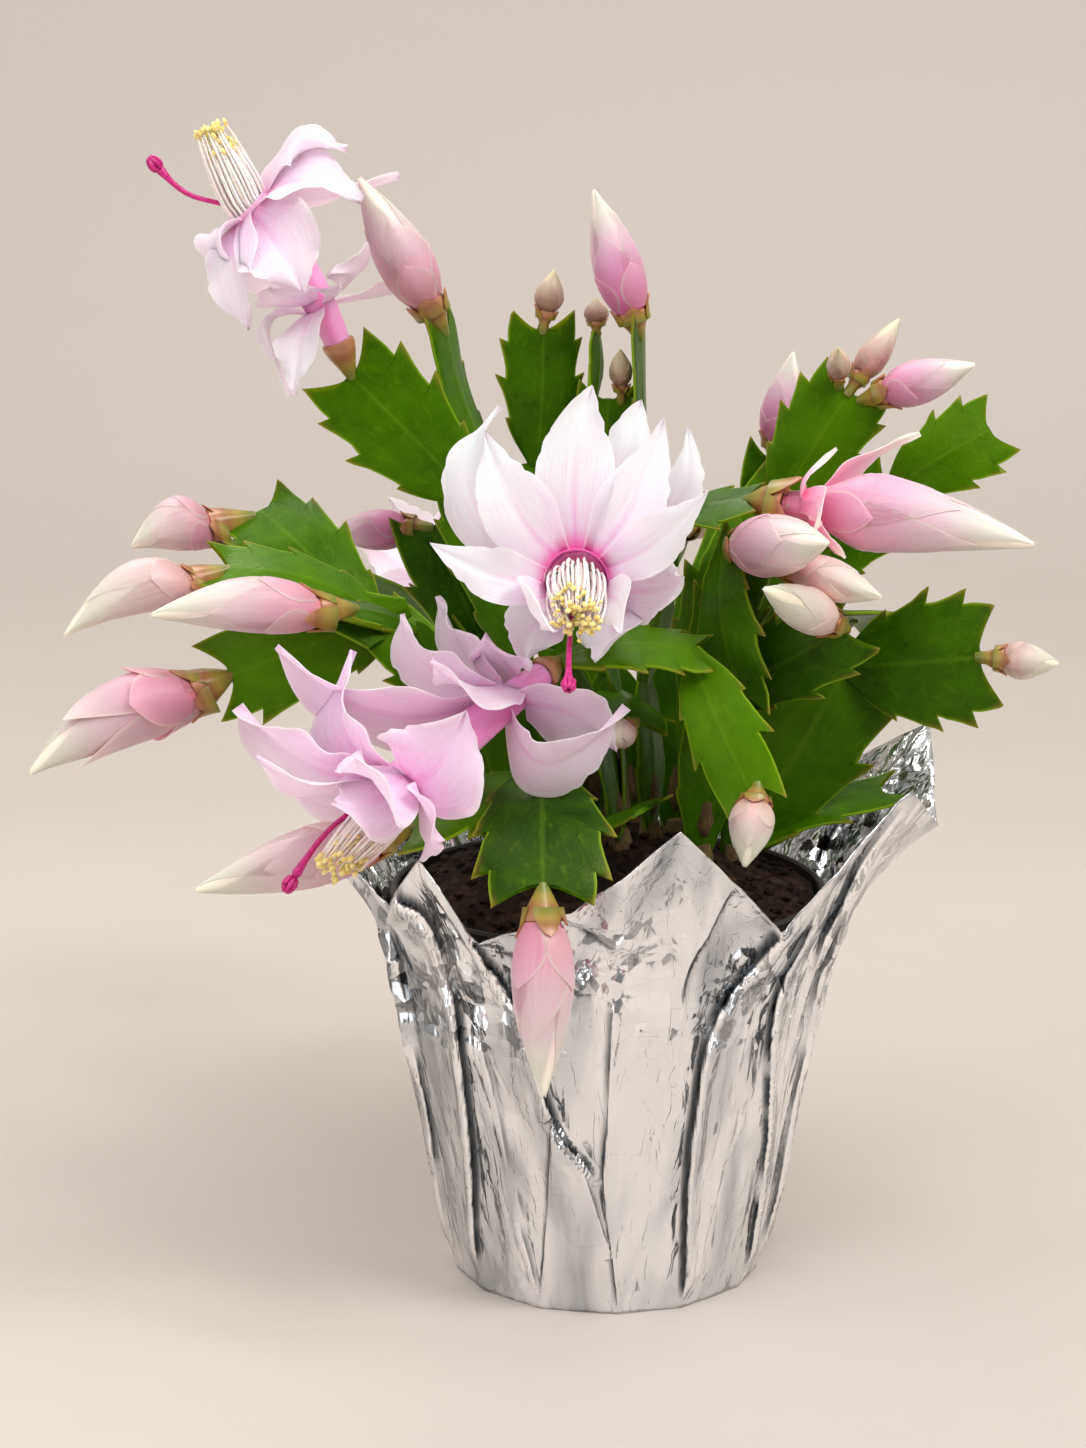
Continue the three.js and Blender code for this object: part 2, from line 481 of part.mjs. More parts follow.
// The growing pot: a tapered cup with a thick lip and drain holes in its floor.
function makePot() {
  const floor = 1.3;
  const shoulder = potHeight - potLipHeight;
  const neck = potRimRadius - 4;
  let body = turned(() => [[0, floor], [potBaseRadius, floor], [neck, shoulder - 1],
    [potRimRadius, shoulder], [potRimRadius, potHeight], [potRimRadius - potWall - 0.4, potHeight],
    [potRimRadius - potWall - 1.4, shoulder + 3], [neck - potWall, shoulder - 2],
    [potBaseRadius - potWall, floor + potFloor], [0, floor + potFloor]]);
  for (let k = 0; k < drainHoleCount; k++) {
    const hole = new THREE.CylinderGeometry(drainHoleRadius, drainHoleRadius, 12, 6);
    const turn = (2 * Math.PI * (k + 0.5)) / drainHoleCount;
    hole.rotateX(Math.PI / 2);
    hole.translate(26 * Math.cos(turn), 26 * Math.sin(turn), floor + 1);
    body = body.subtract(solidOf(hole));
  }
  return meshOf("growing_pot", body, materials.pot);
}

// The foil sleeve: a flat base, tapered sides that are lightly pleated, and a flared, pointed top.
function rimAt(turn) {
  const start = foilRim[0][0];
  const at = ((turn - start) % 360 + 360) % 360 + start;
  const after = foilRim.findIndex(([angle]) => angle > at);
  const next = after < 0 ? [foilRim[0][0] + 360, foilRim[0][1], foilRim[0][2]] : foilRim[after];
  const previous = foilRim[(after < 0 ? foilRim.length : after) - 1];
  const share = (at - previous[0]) / (next[0] - previous[0]);
  return [mix(previous[1], next[1], share), mix(previous[2], next[2], share)];
}

function makeFoil() {
  const columnTurns = [];
  foilRim.forEach(([turn], k) => {
    const next = k + 1 < foilRim.length ? foilRim[k + 1][0] : foilRim[0][0] + 360;
    columnTurns.push(turn, (turn + next) / 2);
  });
  const points = [];
  const body = (turn, k) => {
    const [out, up] = rimAt(turn);
    const pleat = k % 2 ? 0.5 : -0.2;
    const flareStart = 86;
    const flareOut = 59.8 + pleat;
    return [[foilBaseRadius + pleat, 0], [flareOut, flareStart],
      [mix(flareOut, out, 0.4), mix(flareStart, up, 0.55)], [out, up]];
  };
  const inward = (profile) => profile.map(([out, up], i) => {
    const before = profile[Math.max(0, i - 1)];
    const after = profile[Math.min(profile.length - 1, i + 1)];
    const lean = Math.atan2(after[0] - before[0], after[1] - before[1]);
    return [out - foilWall * Math.cos(lean), i ? up + foilWall * Math.sin(lean) : 1];
  });
  columnTurns.forEach((turn, k) => {
    const outside = body(turn, k);
    const ring = [...outside, ...inward(outside).reverse()];
    const angle = radians(turn);
    for (const [out, up] of ring) {
      points.push(new THREE.Vector3(out * Math.sin(angle), -out * Math.cos(angle), up));
    }
  });
  const columns = columnTurns.length;
  const perColumn = points.length / columns;
  const first = points.push(new THREE.Vector3(0, 0, 0)) - 1;
  const last = points.push(new THREE.Vector3(0, 0, 1)) - 1;
  const faces = [];
  for (let k = 0; k < columns; k++) {
    const [a, b] = [k * perColumn, ((k + 1) % columns) * perColumn];
    faces.push([first, b, a], [last, a + perColumn - 1, b + perColumn - 1]);
    for (let i = 0; i + 1 < perColumn; i++) {
      faces.push([a + i, b + i, b + i + 1], [a + i, b + i + 1, a + i + 1]);
    }
  }
  return meshOf("foil_sleeve", solidFrom(points, faces), materials.foil);
}

// The outline of one side of a pad, from foot to tip: how far out of half its width, how far along
// its length, and which rib point its triangles reach. The rib's points are shares of the length.
const padOutlines = {
  toothed: {
    edge: [[0.16, -0.03, 0], [0.74, 0.32, 0], [1.02, 0.64, 1], [0.8, 0.61, 1], [0.96, 0.89, 2],
      [0.77, 0.85, 2], [0.72, 1.11, 2], [0.45, 0.975, 3]],
    rib: [-0.03, 0.32, 0.62, 0.985],
  },
  simple: {
    edge: [[0.18, -0.03, 0], [0.84, 0.36, 0], [1.02, 0.68, 1], [0.8, 0.66, 1], [0.7, 1.08, 1],
      [0.45, 0.97, 2]],
    rib: [-0.03, 0.46, 0.985],
  },
  plain: { edge: [[0.3, -0.03, 0], [0.95, 0.42, 0], [0.4, 0.98, 2]], rib: [-0.03, 0.5, 0.98] },
};

// The place of a pad: where it starts, its direction, its side and the way it faces.
function padFrame(from, pad) {
  const to = vector(pad.to);
  const along = to.clone().sub(from);
  const length = along.length();
  along.normalize();
  const side = new THREE.Vector3().crossVectors(along, vector(pad.face)).normalize();
  const facing = new THREE.Vector3().crossVectors(side, along);
  return { from, to, along, side, facing, length };
}

function padSolid(frame, pad, draw) {
  const { edge, rib } = padOutlines[pad.outline ?? "toothed"];
  const half = pad.wide / 2;
  const arch = (pad.arch ?? 0.03) * frame.length;
  const place = (out, up) => {
    const bow = arch * Math.sin(Math.PI * Math.min(1, Math.max(0, up))) - 0.05 * half * out * out;
    return frame.from.clone()
      .addScaledVector(frame.side, out * half)
      .addScaledVector(frame.along, up * frame.length)
      .addScaledVector(frame.facing, bow);
  };
  const sideOf = (sign) => edge.map(([out, up]) => ({
    at: place(sign * out * (1 + 0.05 * (draw() - 0.5)), up),
    normal: frame.facing,
    half: padEdgeThickness / 2,
  }));
  const ribPoints = rib.map((up) => ({
    at: place(0, up),
    normal: frame.facing,
    half: mix(padMidThickness, padEdgeThickness * 1.6, Math.max(0, up) ** 2) / 2,
  }));
  return blade(sideOf(1), sideOf(-1), ribPoints, edge.map(([, , reach]) => reach));
}

// Where each bud and flower leaves its pad, filled while the stems are made.
const padFrames = new Map();

function tipOf(on, slide = 0) {
  const frame = padFrames.get(on.join("/"));
  return frame.to.clone()
    .addScaledVector(frame.side, slide)
    .addScaledVector(frame.along, -0.02 * frame.length);
}

const footOf = ({ on, slide }) => tipOf(on, slide);

function cupSolid(foot, towards, length, endRadius) {
  const axis = towards.clone().sub(foot).normalize();
  const at = (distance) => foot.clone().addScaledVector(axis, distance);
  return ringed([
    { at: at(-1.2), radius: 1.2 },
    { at: at(0.6 * length), radius: 0.78 * endRadius },
    { at: at(length), radius: endRadius },
  ], 6);
}

function makeStem({ name, root, pads }, number) {
  const draw = seeded(100 + number);
  const ground = soilHeight(...root);
  const bottom = new THREE.Vector3(root[0], root[1], ground - stemDepthInSoil);
  const top = new THREE.Vector3(root[0], root[1], ground + 4);
  const solids = [ringed([
    { at: bottom, radius: stemRadius },
    { at: top, radius: stemRadius * 0.8 },
  ], 6)];
  for (const pad of pads) {
    const from = pad.on ? tipOf([name, pad.on], pad.slide) : top.clone().setZ(ground + 2);
    const frame = padFrame(from, pad);
    padFrames.set(name + "/" + pad.id, frame);
    solids.push(padSolid(frame, pad, draw));
  }
  for (const bud of buds.filter(({ on }) => on[0] === name)) {
    solids.push(cupSolid(footOf(bud), vector(bud.to), bud.cup, 0.31 * bud.wide));
  }
  for (const flower of flowers.filter(({ on }) => on[0] === name)) {
    solids.push(cupSolid(footOf(flower), vector(flower.bend), flower.cup, 4.2));
  }
  return meshOf(name, joined(solids), materials.stem);
}

// A bud: a spindle of wrapped petals with a ring of pointed scale edges.
function makeBud(bud) {
  const foot = footOf(bud);
  const to = vector(bud.to);
  const axis = to.clone().sub(foot).normalize();
  const from = foot.clone().addScaledVector(axis, bud.cup + clearance);
  const length = from.distanceTo(to);
  const rise = bud.rise ?? 0;
  const at = (share) => from.clone().addScaledVector(axis, share * length)
    .add(new THREE.Vector3(0, 0, rise * 4 * share * (1 - share)));
  const radius = bud.wide / 2;
  const waist = bud.waist ?? 0.93;
  const large = bud.wide > 10;
  const wave = large ? 0.06 * length : 0;
  const step = large ? 0.55 : 0;
  const rings = [
    { at: at(0), radius: 0.65 * waist * radius, axis },
    { at: at(0.17), radius: waist * radius },
    { at: at(0.4), radius: radius + step / 2, wave },
    ...(large ? [{ at: at(0.415), radius: radius - step / 2, wave }] : []),
    { at: at(0.74), radius: 0.6 * radius },
    { at: at(1), radius: 0.5 },
  ];
  const petals = (bud.petals ?? []).map((petal) =>
    petalOn(at(petal[0]), axis, 0.6 * waist * radius, petal));
  const sides = bud.wide > 13.5 ? 8 : large ? 6 : 5;
  return meshOf(bud.name, joined([ringed(rings, sides), ...petals]), materials.bud);
}

// One petal, from its foot on a tube. around is the tube's direction there and out the way to it.
function petalSolid(foot, around, out, via, tip, width) {
  const side = new THREE.Vector3().crossVectors(around, out).normalize();
  const line = new THREE.QuadraticBezierCurve3(foot, via.clone().multiplyScalar(2)
    .addScaledVector(foot, -0.5).addScaledVector(tip, -0.5), tip);
  const pointAt = (share, edge, widthShare) => {
    const along = line.getTangent(share);
    const across = side.clone().addScaledVector(along, -side.dot(along)).normalize();
    const normal = new THREE.Vector3().crossVectors(across, along);
    const half = (widthShare * width) / 2;
    const at = line.getPoint(share).addScaledVector(across, edge * half);
    return { at: at.addScaledVector(normal, edge ? -0.16 * half : 0), normal, half: petalThickness / 2 };
  };
  const edgeOf = (sign) => [[0, 0.2], [0.36, 0.9], [0.74, 0.86]].map(([share, widthShare]) =>
    pointAt(share, sign, widthShare));
  return blade(edgeOf(1), edgeOf(-1), [0, 0.5, 1].map((share) => pointAt(share, 0, 0)), [0, 0, 1]);
}

// A petal that leaves a round body at a point of its line, where that body has the given radius.
function petalOn(at, around, radius, [, via, tip, width]) {
  const out = vector(via).sub(at);
  out.addScaledVector(around, -out.dot(around)).normalize();
  const foot = at.clone().addScaledVector(out, radius - 0.7);
  return petalSolid(foot, around, out, vector(via), vector(tip), width);
}

// A flower: its tube with two tiers of petals, the bunch of stamens and the style.
function makeFlower(flower, number) {
  const foot = footOf(flower);
  const bend = vector(flower.bend);
  const start = foot.clone().addScaledVector(bend.clone().sub(foot).normalize(), flower.cup + clearance);
  const line = new THREE.QuadraticBezierCurve3(start, bend, vector(flower.mouth));
  const length = line.getLength();
  const radiusAt = (share) => mix(3.4, flower.tubeRadius, share);
  const ringAt = (share, wall) => ({
    at: line.getPoint(share),
    radius: radiusAt(share) - wall,
    axis: line.getTangent(share),
  });
  const wall = 1.1;
  const hollow = [0.35, 0.6].map((share) => ringAt(share, wall));
  const beyondMouth = line.getPoint(1).addScaledVector(line.getTangent(1), 0.5);
  hollow.push({ at: beyondMouth, radius: radiusAt(1) - wall });
  const tube = ringed([0, 0.25, 0.6, 1].map((share) => ringAt(share, 0)), 7).subtract(ringed(hollow, 6));
  const petalSolids = flower.petals.map((petal) =>
    petalOn(line.getPoint(petal[0]), line.getTangent(petal[0]), radiusAt(petal[0]), petal));
  const petals = meshOf(flower.name + "_petals", joined([tube, ...petalSolids]), materials.petal);

  const draw = seeded(700 + number);
  const axis = line.getTangent(1);
  const right = new THREE.Vector3().crossVectors(axis, new THREE.Vector3(0, 0, 1)).normalize();
  const floor = line.getPoint(0.35).addScaledVector(line.getTangent(0.35), clearance);
  const bow = vector(flower.styleBow);
  bow.addScaledVector(axis, -bow.dot(axis)).normalize();
  const coreFoot = floor.clone().addScaledVector(bow, -1);
  const anthers = vector(flower.anthersTo);
  const mouth = line.getPoint(1).addScaledVector(bow, -2);
  const coreTop = line.getPoint(0.72).addScaledVector(bow, -1.4);
  const reach = anthers.clone().sub(mouth);
  const filaments = [ringed([
    { at: coreFoot, radius: 1 },
    { at: line.getPoint(0.55).addScaledVector(bow, -1.2), radius: 1 },
    { at: coreTop, radius: 1 },
  ], 6)];
  const bundleSide = new THREE.Vector3().crossVectors(reach, right).normalize();
  for (let k = 0; k < filamentsPerFlower; k++) {
    const turn = (2 * Math.PI * k) / filamentsPerFlower;
    const spread = 4 * (0.45 + 0.55 * draw());
    const end = anthers.clone()
      .addScaledVector(right, spread * Math.cos(turn))
      .addScaledVector(bundleSide, spread * Math.sin(turn))
      .addScaledVector(reach, 0.12 * (draw() - 0.6));
    const knee = mouth.clone().lerp(end, 0.3)
      .addScaledVector(right, 0.5 * Math.cos(turn)).addScaledVector(bundleSide, 0.5 * Math.sin(turn));
    const beyond = end.clone().sub(knee).normalize();
    filaments.push(ringed([
      { at: line.getPoint(0.6).addScaledVector(bow, -1.1), radius: filamentRadius },
      { at: knee, radius: filamentRadius },
      { at: end.clone().addScaledVector(beyond, -0.6), radius: 0.9 },
      { at: end.clone().addScaledVector(beyond, 0.8), radius: 0.5 },
    ], 3));
  }
  const stamens = meshOf(flower.name + "_stamens", joined(filaments), materials.filament);

  const styleEnd = vector(flower.styleTo);
  const leave = line.getPoint(1).addScaledVector(bow, 0.34 * flower.tubeRadius);
  const curve = new THREE.CatmullRomCurve3([
    floor.clone().addScaledVector(bow, 1.1), line.getPoint(0.65).addScaledVector(bow, 1.4), leave,
    leave.clone().lerp(styleEnd, 0.5).addScaledVector(bow, 3), styleEnd,
  ]);
  const styleRings = [0, 0.18, 0.36, 0.6, 0.84, 0.91, 1].map((share, i) => ({
    at: curve.getPoint(share),
    radius: [0.55, 0.55, 0.6, 0.65, 0.7, 2, 1.2][i],
  }));
  const style = meshOf(flower.name + "_style", ringed(styleRings, 5), materials.style);
  return [petals, stamens, style];
}

const plant = new THREE.Group();
plant.add(makeFoil(), makePot(), makeSoil());
stems.forEach((stem, number) => plant.add(makeStem(stem, number)));
buds.forEach((bud) => plant.add(makeBud(bud)));
flowers.forEach((flower, number) => plant.add(...makeFlower(flower, number)));

export default plant;
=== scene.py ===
import math
import random

import bmesh
import bpy
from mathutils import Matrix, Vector, noise


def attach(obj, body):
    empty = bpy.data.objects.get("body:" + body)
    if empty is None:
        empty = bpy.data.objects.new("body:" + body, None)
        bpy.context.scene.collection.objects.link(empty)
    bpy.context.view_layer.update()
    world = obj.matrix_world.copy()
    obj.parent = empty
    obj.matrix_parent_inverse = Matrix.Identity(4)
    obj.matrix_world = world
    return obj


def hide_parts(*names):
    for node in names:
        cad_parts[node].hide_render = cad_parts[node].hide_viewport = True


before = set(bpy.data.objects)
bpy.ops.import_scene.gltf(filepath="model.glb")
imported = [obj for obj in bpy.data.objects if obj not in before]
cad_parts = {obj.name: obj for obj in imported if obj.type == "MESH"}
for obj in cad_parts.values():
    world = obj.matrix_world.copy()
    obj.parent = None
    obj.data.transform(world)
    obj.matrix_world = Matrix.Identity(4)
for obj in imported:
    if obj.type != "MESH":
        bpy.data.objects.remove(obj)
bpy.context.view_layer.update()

mm = 0.001  # the tables are in millimetres
seeds = dict(folds=5, soil=41, stems=100, buds=300, flowers=700)  # a piece's number is added to its seed
print("cactus: frame loaded")


# small sums

def mix(low, high, share):
    return low + (high - low) * share


def clamp(value):
    return min(1, max(0, value))


def ease(low, high, value):
    share = clamp((value - low) / (high - low))
    return share * share * (3 - 2 * share)


def slopeAt(knots, k):
    before = knots[max(0, k - 1)]
    after = knots[min(len(knots) - 1, k + 1)]
    return [(b - a) / (after[0] - before[0]) for a, b in zip(before[1:], after[1:])]


def through(knots, value):  # a smooth line through (value, result, ...) knots
    if value <= knots[0][0]:
        return list(knots[0][1:])
    for k in range(len(knots) - 1):
        low, high = knots[k], knots[k + 1]
        if value <= high[0]:
            span = high[0] - low[0]
            t = (value - low[0]) / span
            before, after = slopeAt(knots, k), slopeAt(knots, k + 1)
            return [
                a * (1 + 2 * t) * (1 - t) ** 2 + b * t * t * (3 - 2 * t)
                + span * (p * t * (1 - t) ** 2 - q * t * t * (1 - t))
                for a, b, p, q in zip(low[1:], high[1:], before, after)
            ]
    return list(knots[-1][1:])


def curvePoint(points, share):  # a smooth line through points
    knots = [(k / (len(points) - 1), *p) for k, p in enumerate(points)]
    return Vector(through(knots, share))


def bowPoint(start, bend, end, share):
    return start * (1 - share) ** 2 + bend * (2 * share * (1 - share)) + end * share ** 2


def bowAhead(start, bend, end, share):
    return ((bend - start) * (1 - share) + (end - bend) * share).normalized()


def sideAndTop(ahead):  # the two directions across a line that runs ahead
    guide = Vector((0, 0, 1)) if abs(ahead.z) < 0.9 else Vector((1, 0, 0))
    side = ahead.cross(guide).normalized()
    return side, side.cross(ahead)


# mesh makers: every point also keeps where it lies across and along its leaf, and two tints

layerNames = ("across", "along", "tone", "accent")
mergeDistance = 1e-6


def newMesh():
    bm = bmesh.new()
    for name in layerNames:
        bm.verts.layers.float.new(name)
    return bm


def layersOf(bm):
    return [bm.verts.layers.float[name] for name in layerNames]


def addSheet(bm, columns, rows, place, tone=0.5, slot=0):
    # a thin closed sheet: place gives a point's middle, its normal, half its thickness, its accent
    front = bmesh.ops.create_grid(bm, x_segments=columns, y_segments=rows, size=1)["verts"]
    faces = list(dict.fromkeys(face for vert in front for face in vert.link_faces))
    grown = bmesh.ops.extrude_face_region(bm, geom=faces)["geom"]
    back = [part for part in grown if isinstance(part, bmesh.types.BMVert)]
    layers = layersOf(bm)
    for verts, sign in ((front, 1), (back, -1)):
        for vert in verts:
            across = vert.co.x
            along = (vert.co.y + 1) / 2
            at, normal, half, accent = place(across, along)
            vert.co = (at + normal * (half * sign)) * mm
            for kept, value in zip(layers, (across, along, tone, accent)):
                vert[kept] = value
            for face in vert.link_faces:
                face.material_index = slot


def addTube(bm, rings, sides, tone=0.5, slot=0, shape=None, alongs=None):
    # a closed round body: a ring is a centre, its two directions and its radius, 0 at both ends
    made = bmesh.ops.create_grid(bm, x_segments=sides, y_segments=len(rings) - 1, size=1)["verts"]
    last = len(rings) - 1
    layers = layersOf(bm)
    for vert in made:
        k = round((vert.co.y + 1) / 2 * last)
        turn = (vert.co.x + 1) * math.pi
        centre, side, top, radius = rings[k]
        if shape:
            radius *= shape(turn, k / last)
        across = vert.co.x
        along = alongs[k] if alongs else k / last
        vert.co = (centre + side * (radius * math.cos(turn)) + top * (radius * math.sin(turn))) * mm
        for kept, value in zip(layers, (across, along, tone, 0)):
            vert[kept] = value
        for face in vert.link_faces:
            face.material_index = slot
    bmesh.ops.remove_doubles(bm, verts=made, dist=mergeDistance)


def ringsAlong(pointAt, shares, radii):  # the rings of a tube that follows a line
    rings = []
    for share, radius in zip(shares, radii):
        ahead = (pointAt(min(1, share + 0.02)) - pointAt(max(0, share - 0.02))).normalized()
        side, top = sideAndTop(ahead)
        rings.append((pointAt(share), side, top, radius))
    return rings


def camelName(nodeName):  # "bud_top_left" becomes "budTopLeft"
    first, *others = nodeName.split("_")
    return first + "".join(word.capitalize() for word in others)


def finishPiece(bm, name, materials, nodes, sharp=50, closed=True):
    if closed:
        bmesh.ops.recalc_face_normals(bm, faces=bm.faces)
    mesh = bpy.data.meshes.new(name)
    bm.to_mesh(mesh)
    bm.free()
    for material in materials:
        mesh.materials.append(material)
    mesh.shade_smooth()
    mesh.set_sharp_from_angle(angle=math.radians(sharp))
    piece = bpy.data.objects.new(name, mesh)
    bpy.context.scene.collection.objects.link(piece)
    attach(piece, "root")
    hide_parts(*nodes)
    return piece


# material makers

def newMaterial(name, **sockets):
    material = bpy.data.materials.new(name)
    material.use_nodes = True
    for socket, value in sockets.items():
        material.node_tree.nodes["Principled BSDF"].inputs[socket.replace("_", " ")].default_value = value
    return material


def addNode(material, kind, inputs, **settings):
    node = material.node_tree.nodes.new("ShaderNode" + kind)
    for setting, value in settings.items():
        setattr(node, setting, value)
    for socket, value in inputs.items():
        if isinstance(value, bpy.types.NodeSocket):
            material.node_tree.links.new(value, node.inputs[socket])
        else:
            node.inputs[socket].default_value = value
    return node


def sums(material, operation, first, second=0.5, third=0.5):
    node = addNode(material, "Math", {0: first, 1: second, 2: third}, operation=operation)
    return node.outputs[0]


def product(material, first, second):
    return sums(material, "MULTIPLY", first, second)


def layer(material, name):
    return addNode(material, "Attribute", {}, attribute_name=name).outputs["Fac"]


def rampOf(material, share, stops):
    node = addNode(material, "ValToRGB", {"Fac": share})
    elements = node.color_ramp.elements
    while len(elements) < len(stops):
        elements.new(0.5)
    for element, (position, tint) in zip(elements, stops):
        element.position = position
        element.color = tintOf(tint)
    return node.outputs["Color"]


def tintOf(code):  # "d7cec3" as a linear colour
    parts = [int(code[k:k + 2], 16) / 255 for k in (0, 2, 4)]
    return (*[p / 12.92 if p < 0.04045 else ((p + 0.055) / 1.055) ** 2.4 for p in parts], 1)


def blend(material, share, first, second):
    node = addNode(material, "Mix", {0: share, 6: first, 7: second}, data_type="RGBA")
    return node.outputs[2]


def blendTint(material, share, first, code):
    return blend(material, share, first, tintOf(code))


def remap(material, value, low, high, start=0.0, end=1.0):
    node = addNode(material, "MapRange", {0: value, 1: low, 2: high, 3: start, 4: end},
                   interpolation_type="SMOOTHSTEP")
    return node.outputs[0]


def hump(material, value, rise, fall, left=0.0):  # up over the first span, down over the second
    return product(material, remap(material, value, *rise), remap(material, value, *fall, 1.0, left))


def aside(material):  # how far a point lies from the middle of its leaf
    return sums(material, "ABSOLUTE", layer(material, "across"))


def objectSpot(material):
    return addNode(material, "TexCoord", {}).outputs["Object"]


def noiseOf(material, where, scale, detail=4.0, rough=0.55, warp=0.0):
    node = addNode(material, "TexNoise", {"Vector": where, "Scale": scale, "Detail": detail,
                                          "Roughness": rough, "Distortion": warp})
    return node.outputs["Fac"]


def leafSpot(material, acrossScale, alongScale):  # a place that follows a leaf or petal
    toneScale = 37.0  # far enough apart that no two leaves share a pattern
    scales = (("across", acrossScale), ("along", alongScale), ("tone", toneScale))
    parts = {k: product(material, layer(material, name), scale) for k, (name, scale) in enumerate(scales)}
    return addNode(material, "CombineXYZ", parts).outputs[0]


def setShader(material, **links):
    shader = material.node_tree.nodes["Principled BSDF"]
    for socket, value in links.items():
        material.node_tree.links.new(value, shader.inputs[socket.replace("_", " ")])


def bumpOf(material, height, strength, distance, under=None):
    inputs = {"Height": height, "Strength": strength, "Distance": distance * mm}
    if under:
        inputs["Normal"] = under
    return addNode(material, "Bump", inputs).outputs["Normal"]


# materials

def facetsOf(material, where, scale):  # flat facets, each tilted its own way
    cells = addNode(material, "TexVoronoi", {"Vector": where, "Scale": scale})

    def vectors(operation, first, second):
        return addNode(material, "VectorMath", {0: first, 1: second}, operation=operation).outputs

    away = vectors("SUBTRACT", where, cells.outputs["Position"])[0]
    aim = vectors("SUBTRACT", cells.outputs["Color"], (0.5, 0.5, 0.5))[0]
    return vectors("DOT_PRODUCT", away, aim)["Value"]


def makeFoilMetal():
    # tone is how many degrees a point lies past the nearest fold, accent is how sharp that fold is;
    # together they place a painted shadow just behind each sharp fold and a painted highlight on its
    # raised edge
    material = newMaterial("silverFoil", Metallic=1.0, Roughness=0.2)
    where = objectSpot(material)
    past = layer(material, "tone")
    sharp = layer(material, "accent")
    tall = addNode(material, "Mapping", {"Vector": where, "Scale": (1.0, 1.0, 0.14)}).outputs[0]
    # painted reflection: the foil's colour runs in long grey streaks, standing in for the darker and
    # lighter surroundings its facets reflect
    paintedReflectionStreak = noiseOf(material, tall, 60, 3, 0.5, 0.6)
    tint = rampOf(material, paintedReflectionStreak, [(0.34, "b6b9bd"), (0.46, "dcdee1"), (0.58, "f6f7f9")])
    # painted shadow: a dark band just behind each sharp fold, where the raised flap would shade the sheet
    foldShadow = product(material, hump(material, past, (-2.0, -0.3), (-0.1, 0.1)), sharp)
    tint = blendTint(material, foldShadow, tint, "464a4e")
    # painted highlight: a thin white line along the raised edge of each sharp fold
    edge = product(material, hump(material, past, (0.0, 0.15), (0.35, 0.7)), sharp)
    tint = blendTint(material, edge, tint, "ffffff")
    lip = product(material, hump(material, past, (-0.35, 0.25), (0.5, 2.5), 0.4), sharp)
    band = hump(material, layer(material, "along"), (0.54, 0.64), (0.84, 0.95))
    patch = remap(material, noiseOf(material, where, 32, 2), 0.38, 0.56)
    crumpled = product(material, band, patch)
    panels = bumpOf(material, noiseOf(material, tall, 95, 3, 0.5, 0.3), 1.0, 4.8)
    tucks = bumpOf(material, facetsOf(material, where, 60.0), 1.0, 190, panels)
    small = product(material, facetsOf(material, where, 230.0), crumpled)
    crinkles = bumpOf(material, small, 1.0, 1700, tucks)
    wander = sums(material, "SUBTRACT", noiseOf(material, tall, 170, 3, 0.5, 0.4), 0.5)
    lines = remap(material, sums(material, "ABSOLUTE", wander), 0.0, 0.03)
    height = sums(material, "MULTIPLY_ADD", lines, 0.13, lip)
    dull = remap(material, noiseOf(material, where, 90), 0.35, 0.75, 0.14, 0.3)
    bumps = bumpOf(material, height, 0.9, 0.7, crinkles)
    setShader(material, Base_Color=tint, Roughness=dull, Normal=bumps)
    return material


def makePotPlastic():
    material = newMaterial("potPlastic", Roughness=0.5)
    where = objectSpot(material)
    tint = rampOf(material, noiseOf(material, where, 60), [(0.35, "1d1714"), (0.7, "362a24")])
    grain = noiseOf(material, where, 1800, 3)
    setShader(material, Base_Color=tint, Normal=bumpOf(material, grain, 0.2, 0.1))
    return material


def makePeat():
    material = newMaterial("peat", Roughness=0.95, Specular_IOR_Level=0.2)
    where = objectSpot(material)
    crumbs = noiseOf(material, where, 260, 8, 0.7, 0.3)
    tint = rampOf(material, crumbs, [(0.3, "0d0805"), (0.5, "22160e"), (0.66, "463223"), (0.8, "775c43")])
    fine = noiseOf(material, where, 900, 6, 0.7)
    height = sums(material, "MULTIPLY_ADD", fine, 0.5, crumbs)
    setShader(material, Base_Color=tint, Normal=bumpOf(material, height, 0.8, 1.0))
    return material


def makePadGreen():
    material = newMaterial("padGreen", Roughness=0.34, Subsurface_Weight=0.25, Subsurface_Scale=0.0015,
                           Subsurface_Radius=(0.7, 1.0, 0.25), Specular_IOR_Level=0.22,
                           Specular_Tint=(0.7, 0.9, 0.25, 1.0))
    where = objectSpot(material)
    side = aside(material)
    mottle = noiseOf(material, where, 95, 5, 0.6, 0.4)
    shade = sums(material, "MULTIPLY_ADD", mottle, 0.55, layer(material, "tone"))
    tint = rampOf(material, shade, [(0.25, "1b3a02"), (0.5, "365f01"), (0.78, "4f7b02"), (1.0, "749906")])
    veins = noiseOf(material, leafSpot(material, 3.2, 7.0), 2.6, 3, 0.5, 0.8)
    tint = blendTint(material, remap(material, veins, 0.5, 0.8, 0.0, 0.22), tint, "6f9418")
    rib = remap(material, side, 0.0, 0.07, 0.16, 0.0)
    tint = blendTint(material, rib, tint, "7a9f22")
    margin = remap(material, side, 0.93, 1.0, 0.0, 0.5)
    tint = blendTint(material, margin, tint, "9dbb24")
    tint = blendTint(material, layer(material, "accent"), tint, "8c5a34")
    pores = noiseOf(material, where, 700, 4, 0.6)
    height = sums(material, "MULTIPLY_ADD", veins, 1.4, pores)
    rough = remap(material, mottle, 0.3, 0.7, 0.26, 0.42)
    setShader(material, Base_Color=tint, Roughness=rough, Normal=bumpOf(material, height, 0.22, 0.35))
    return material


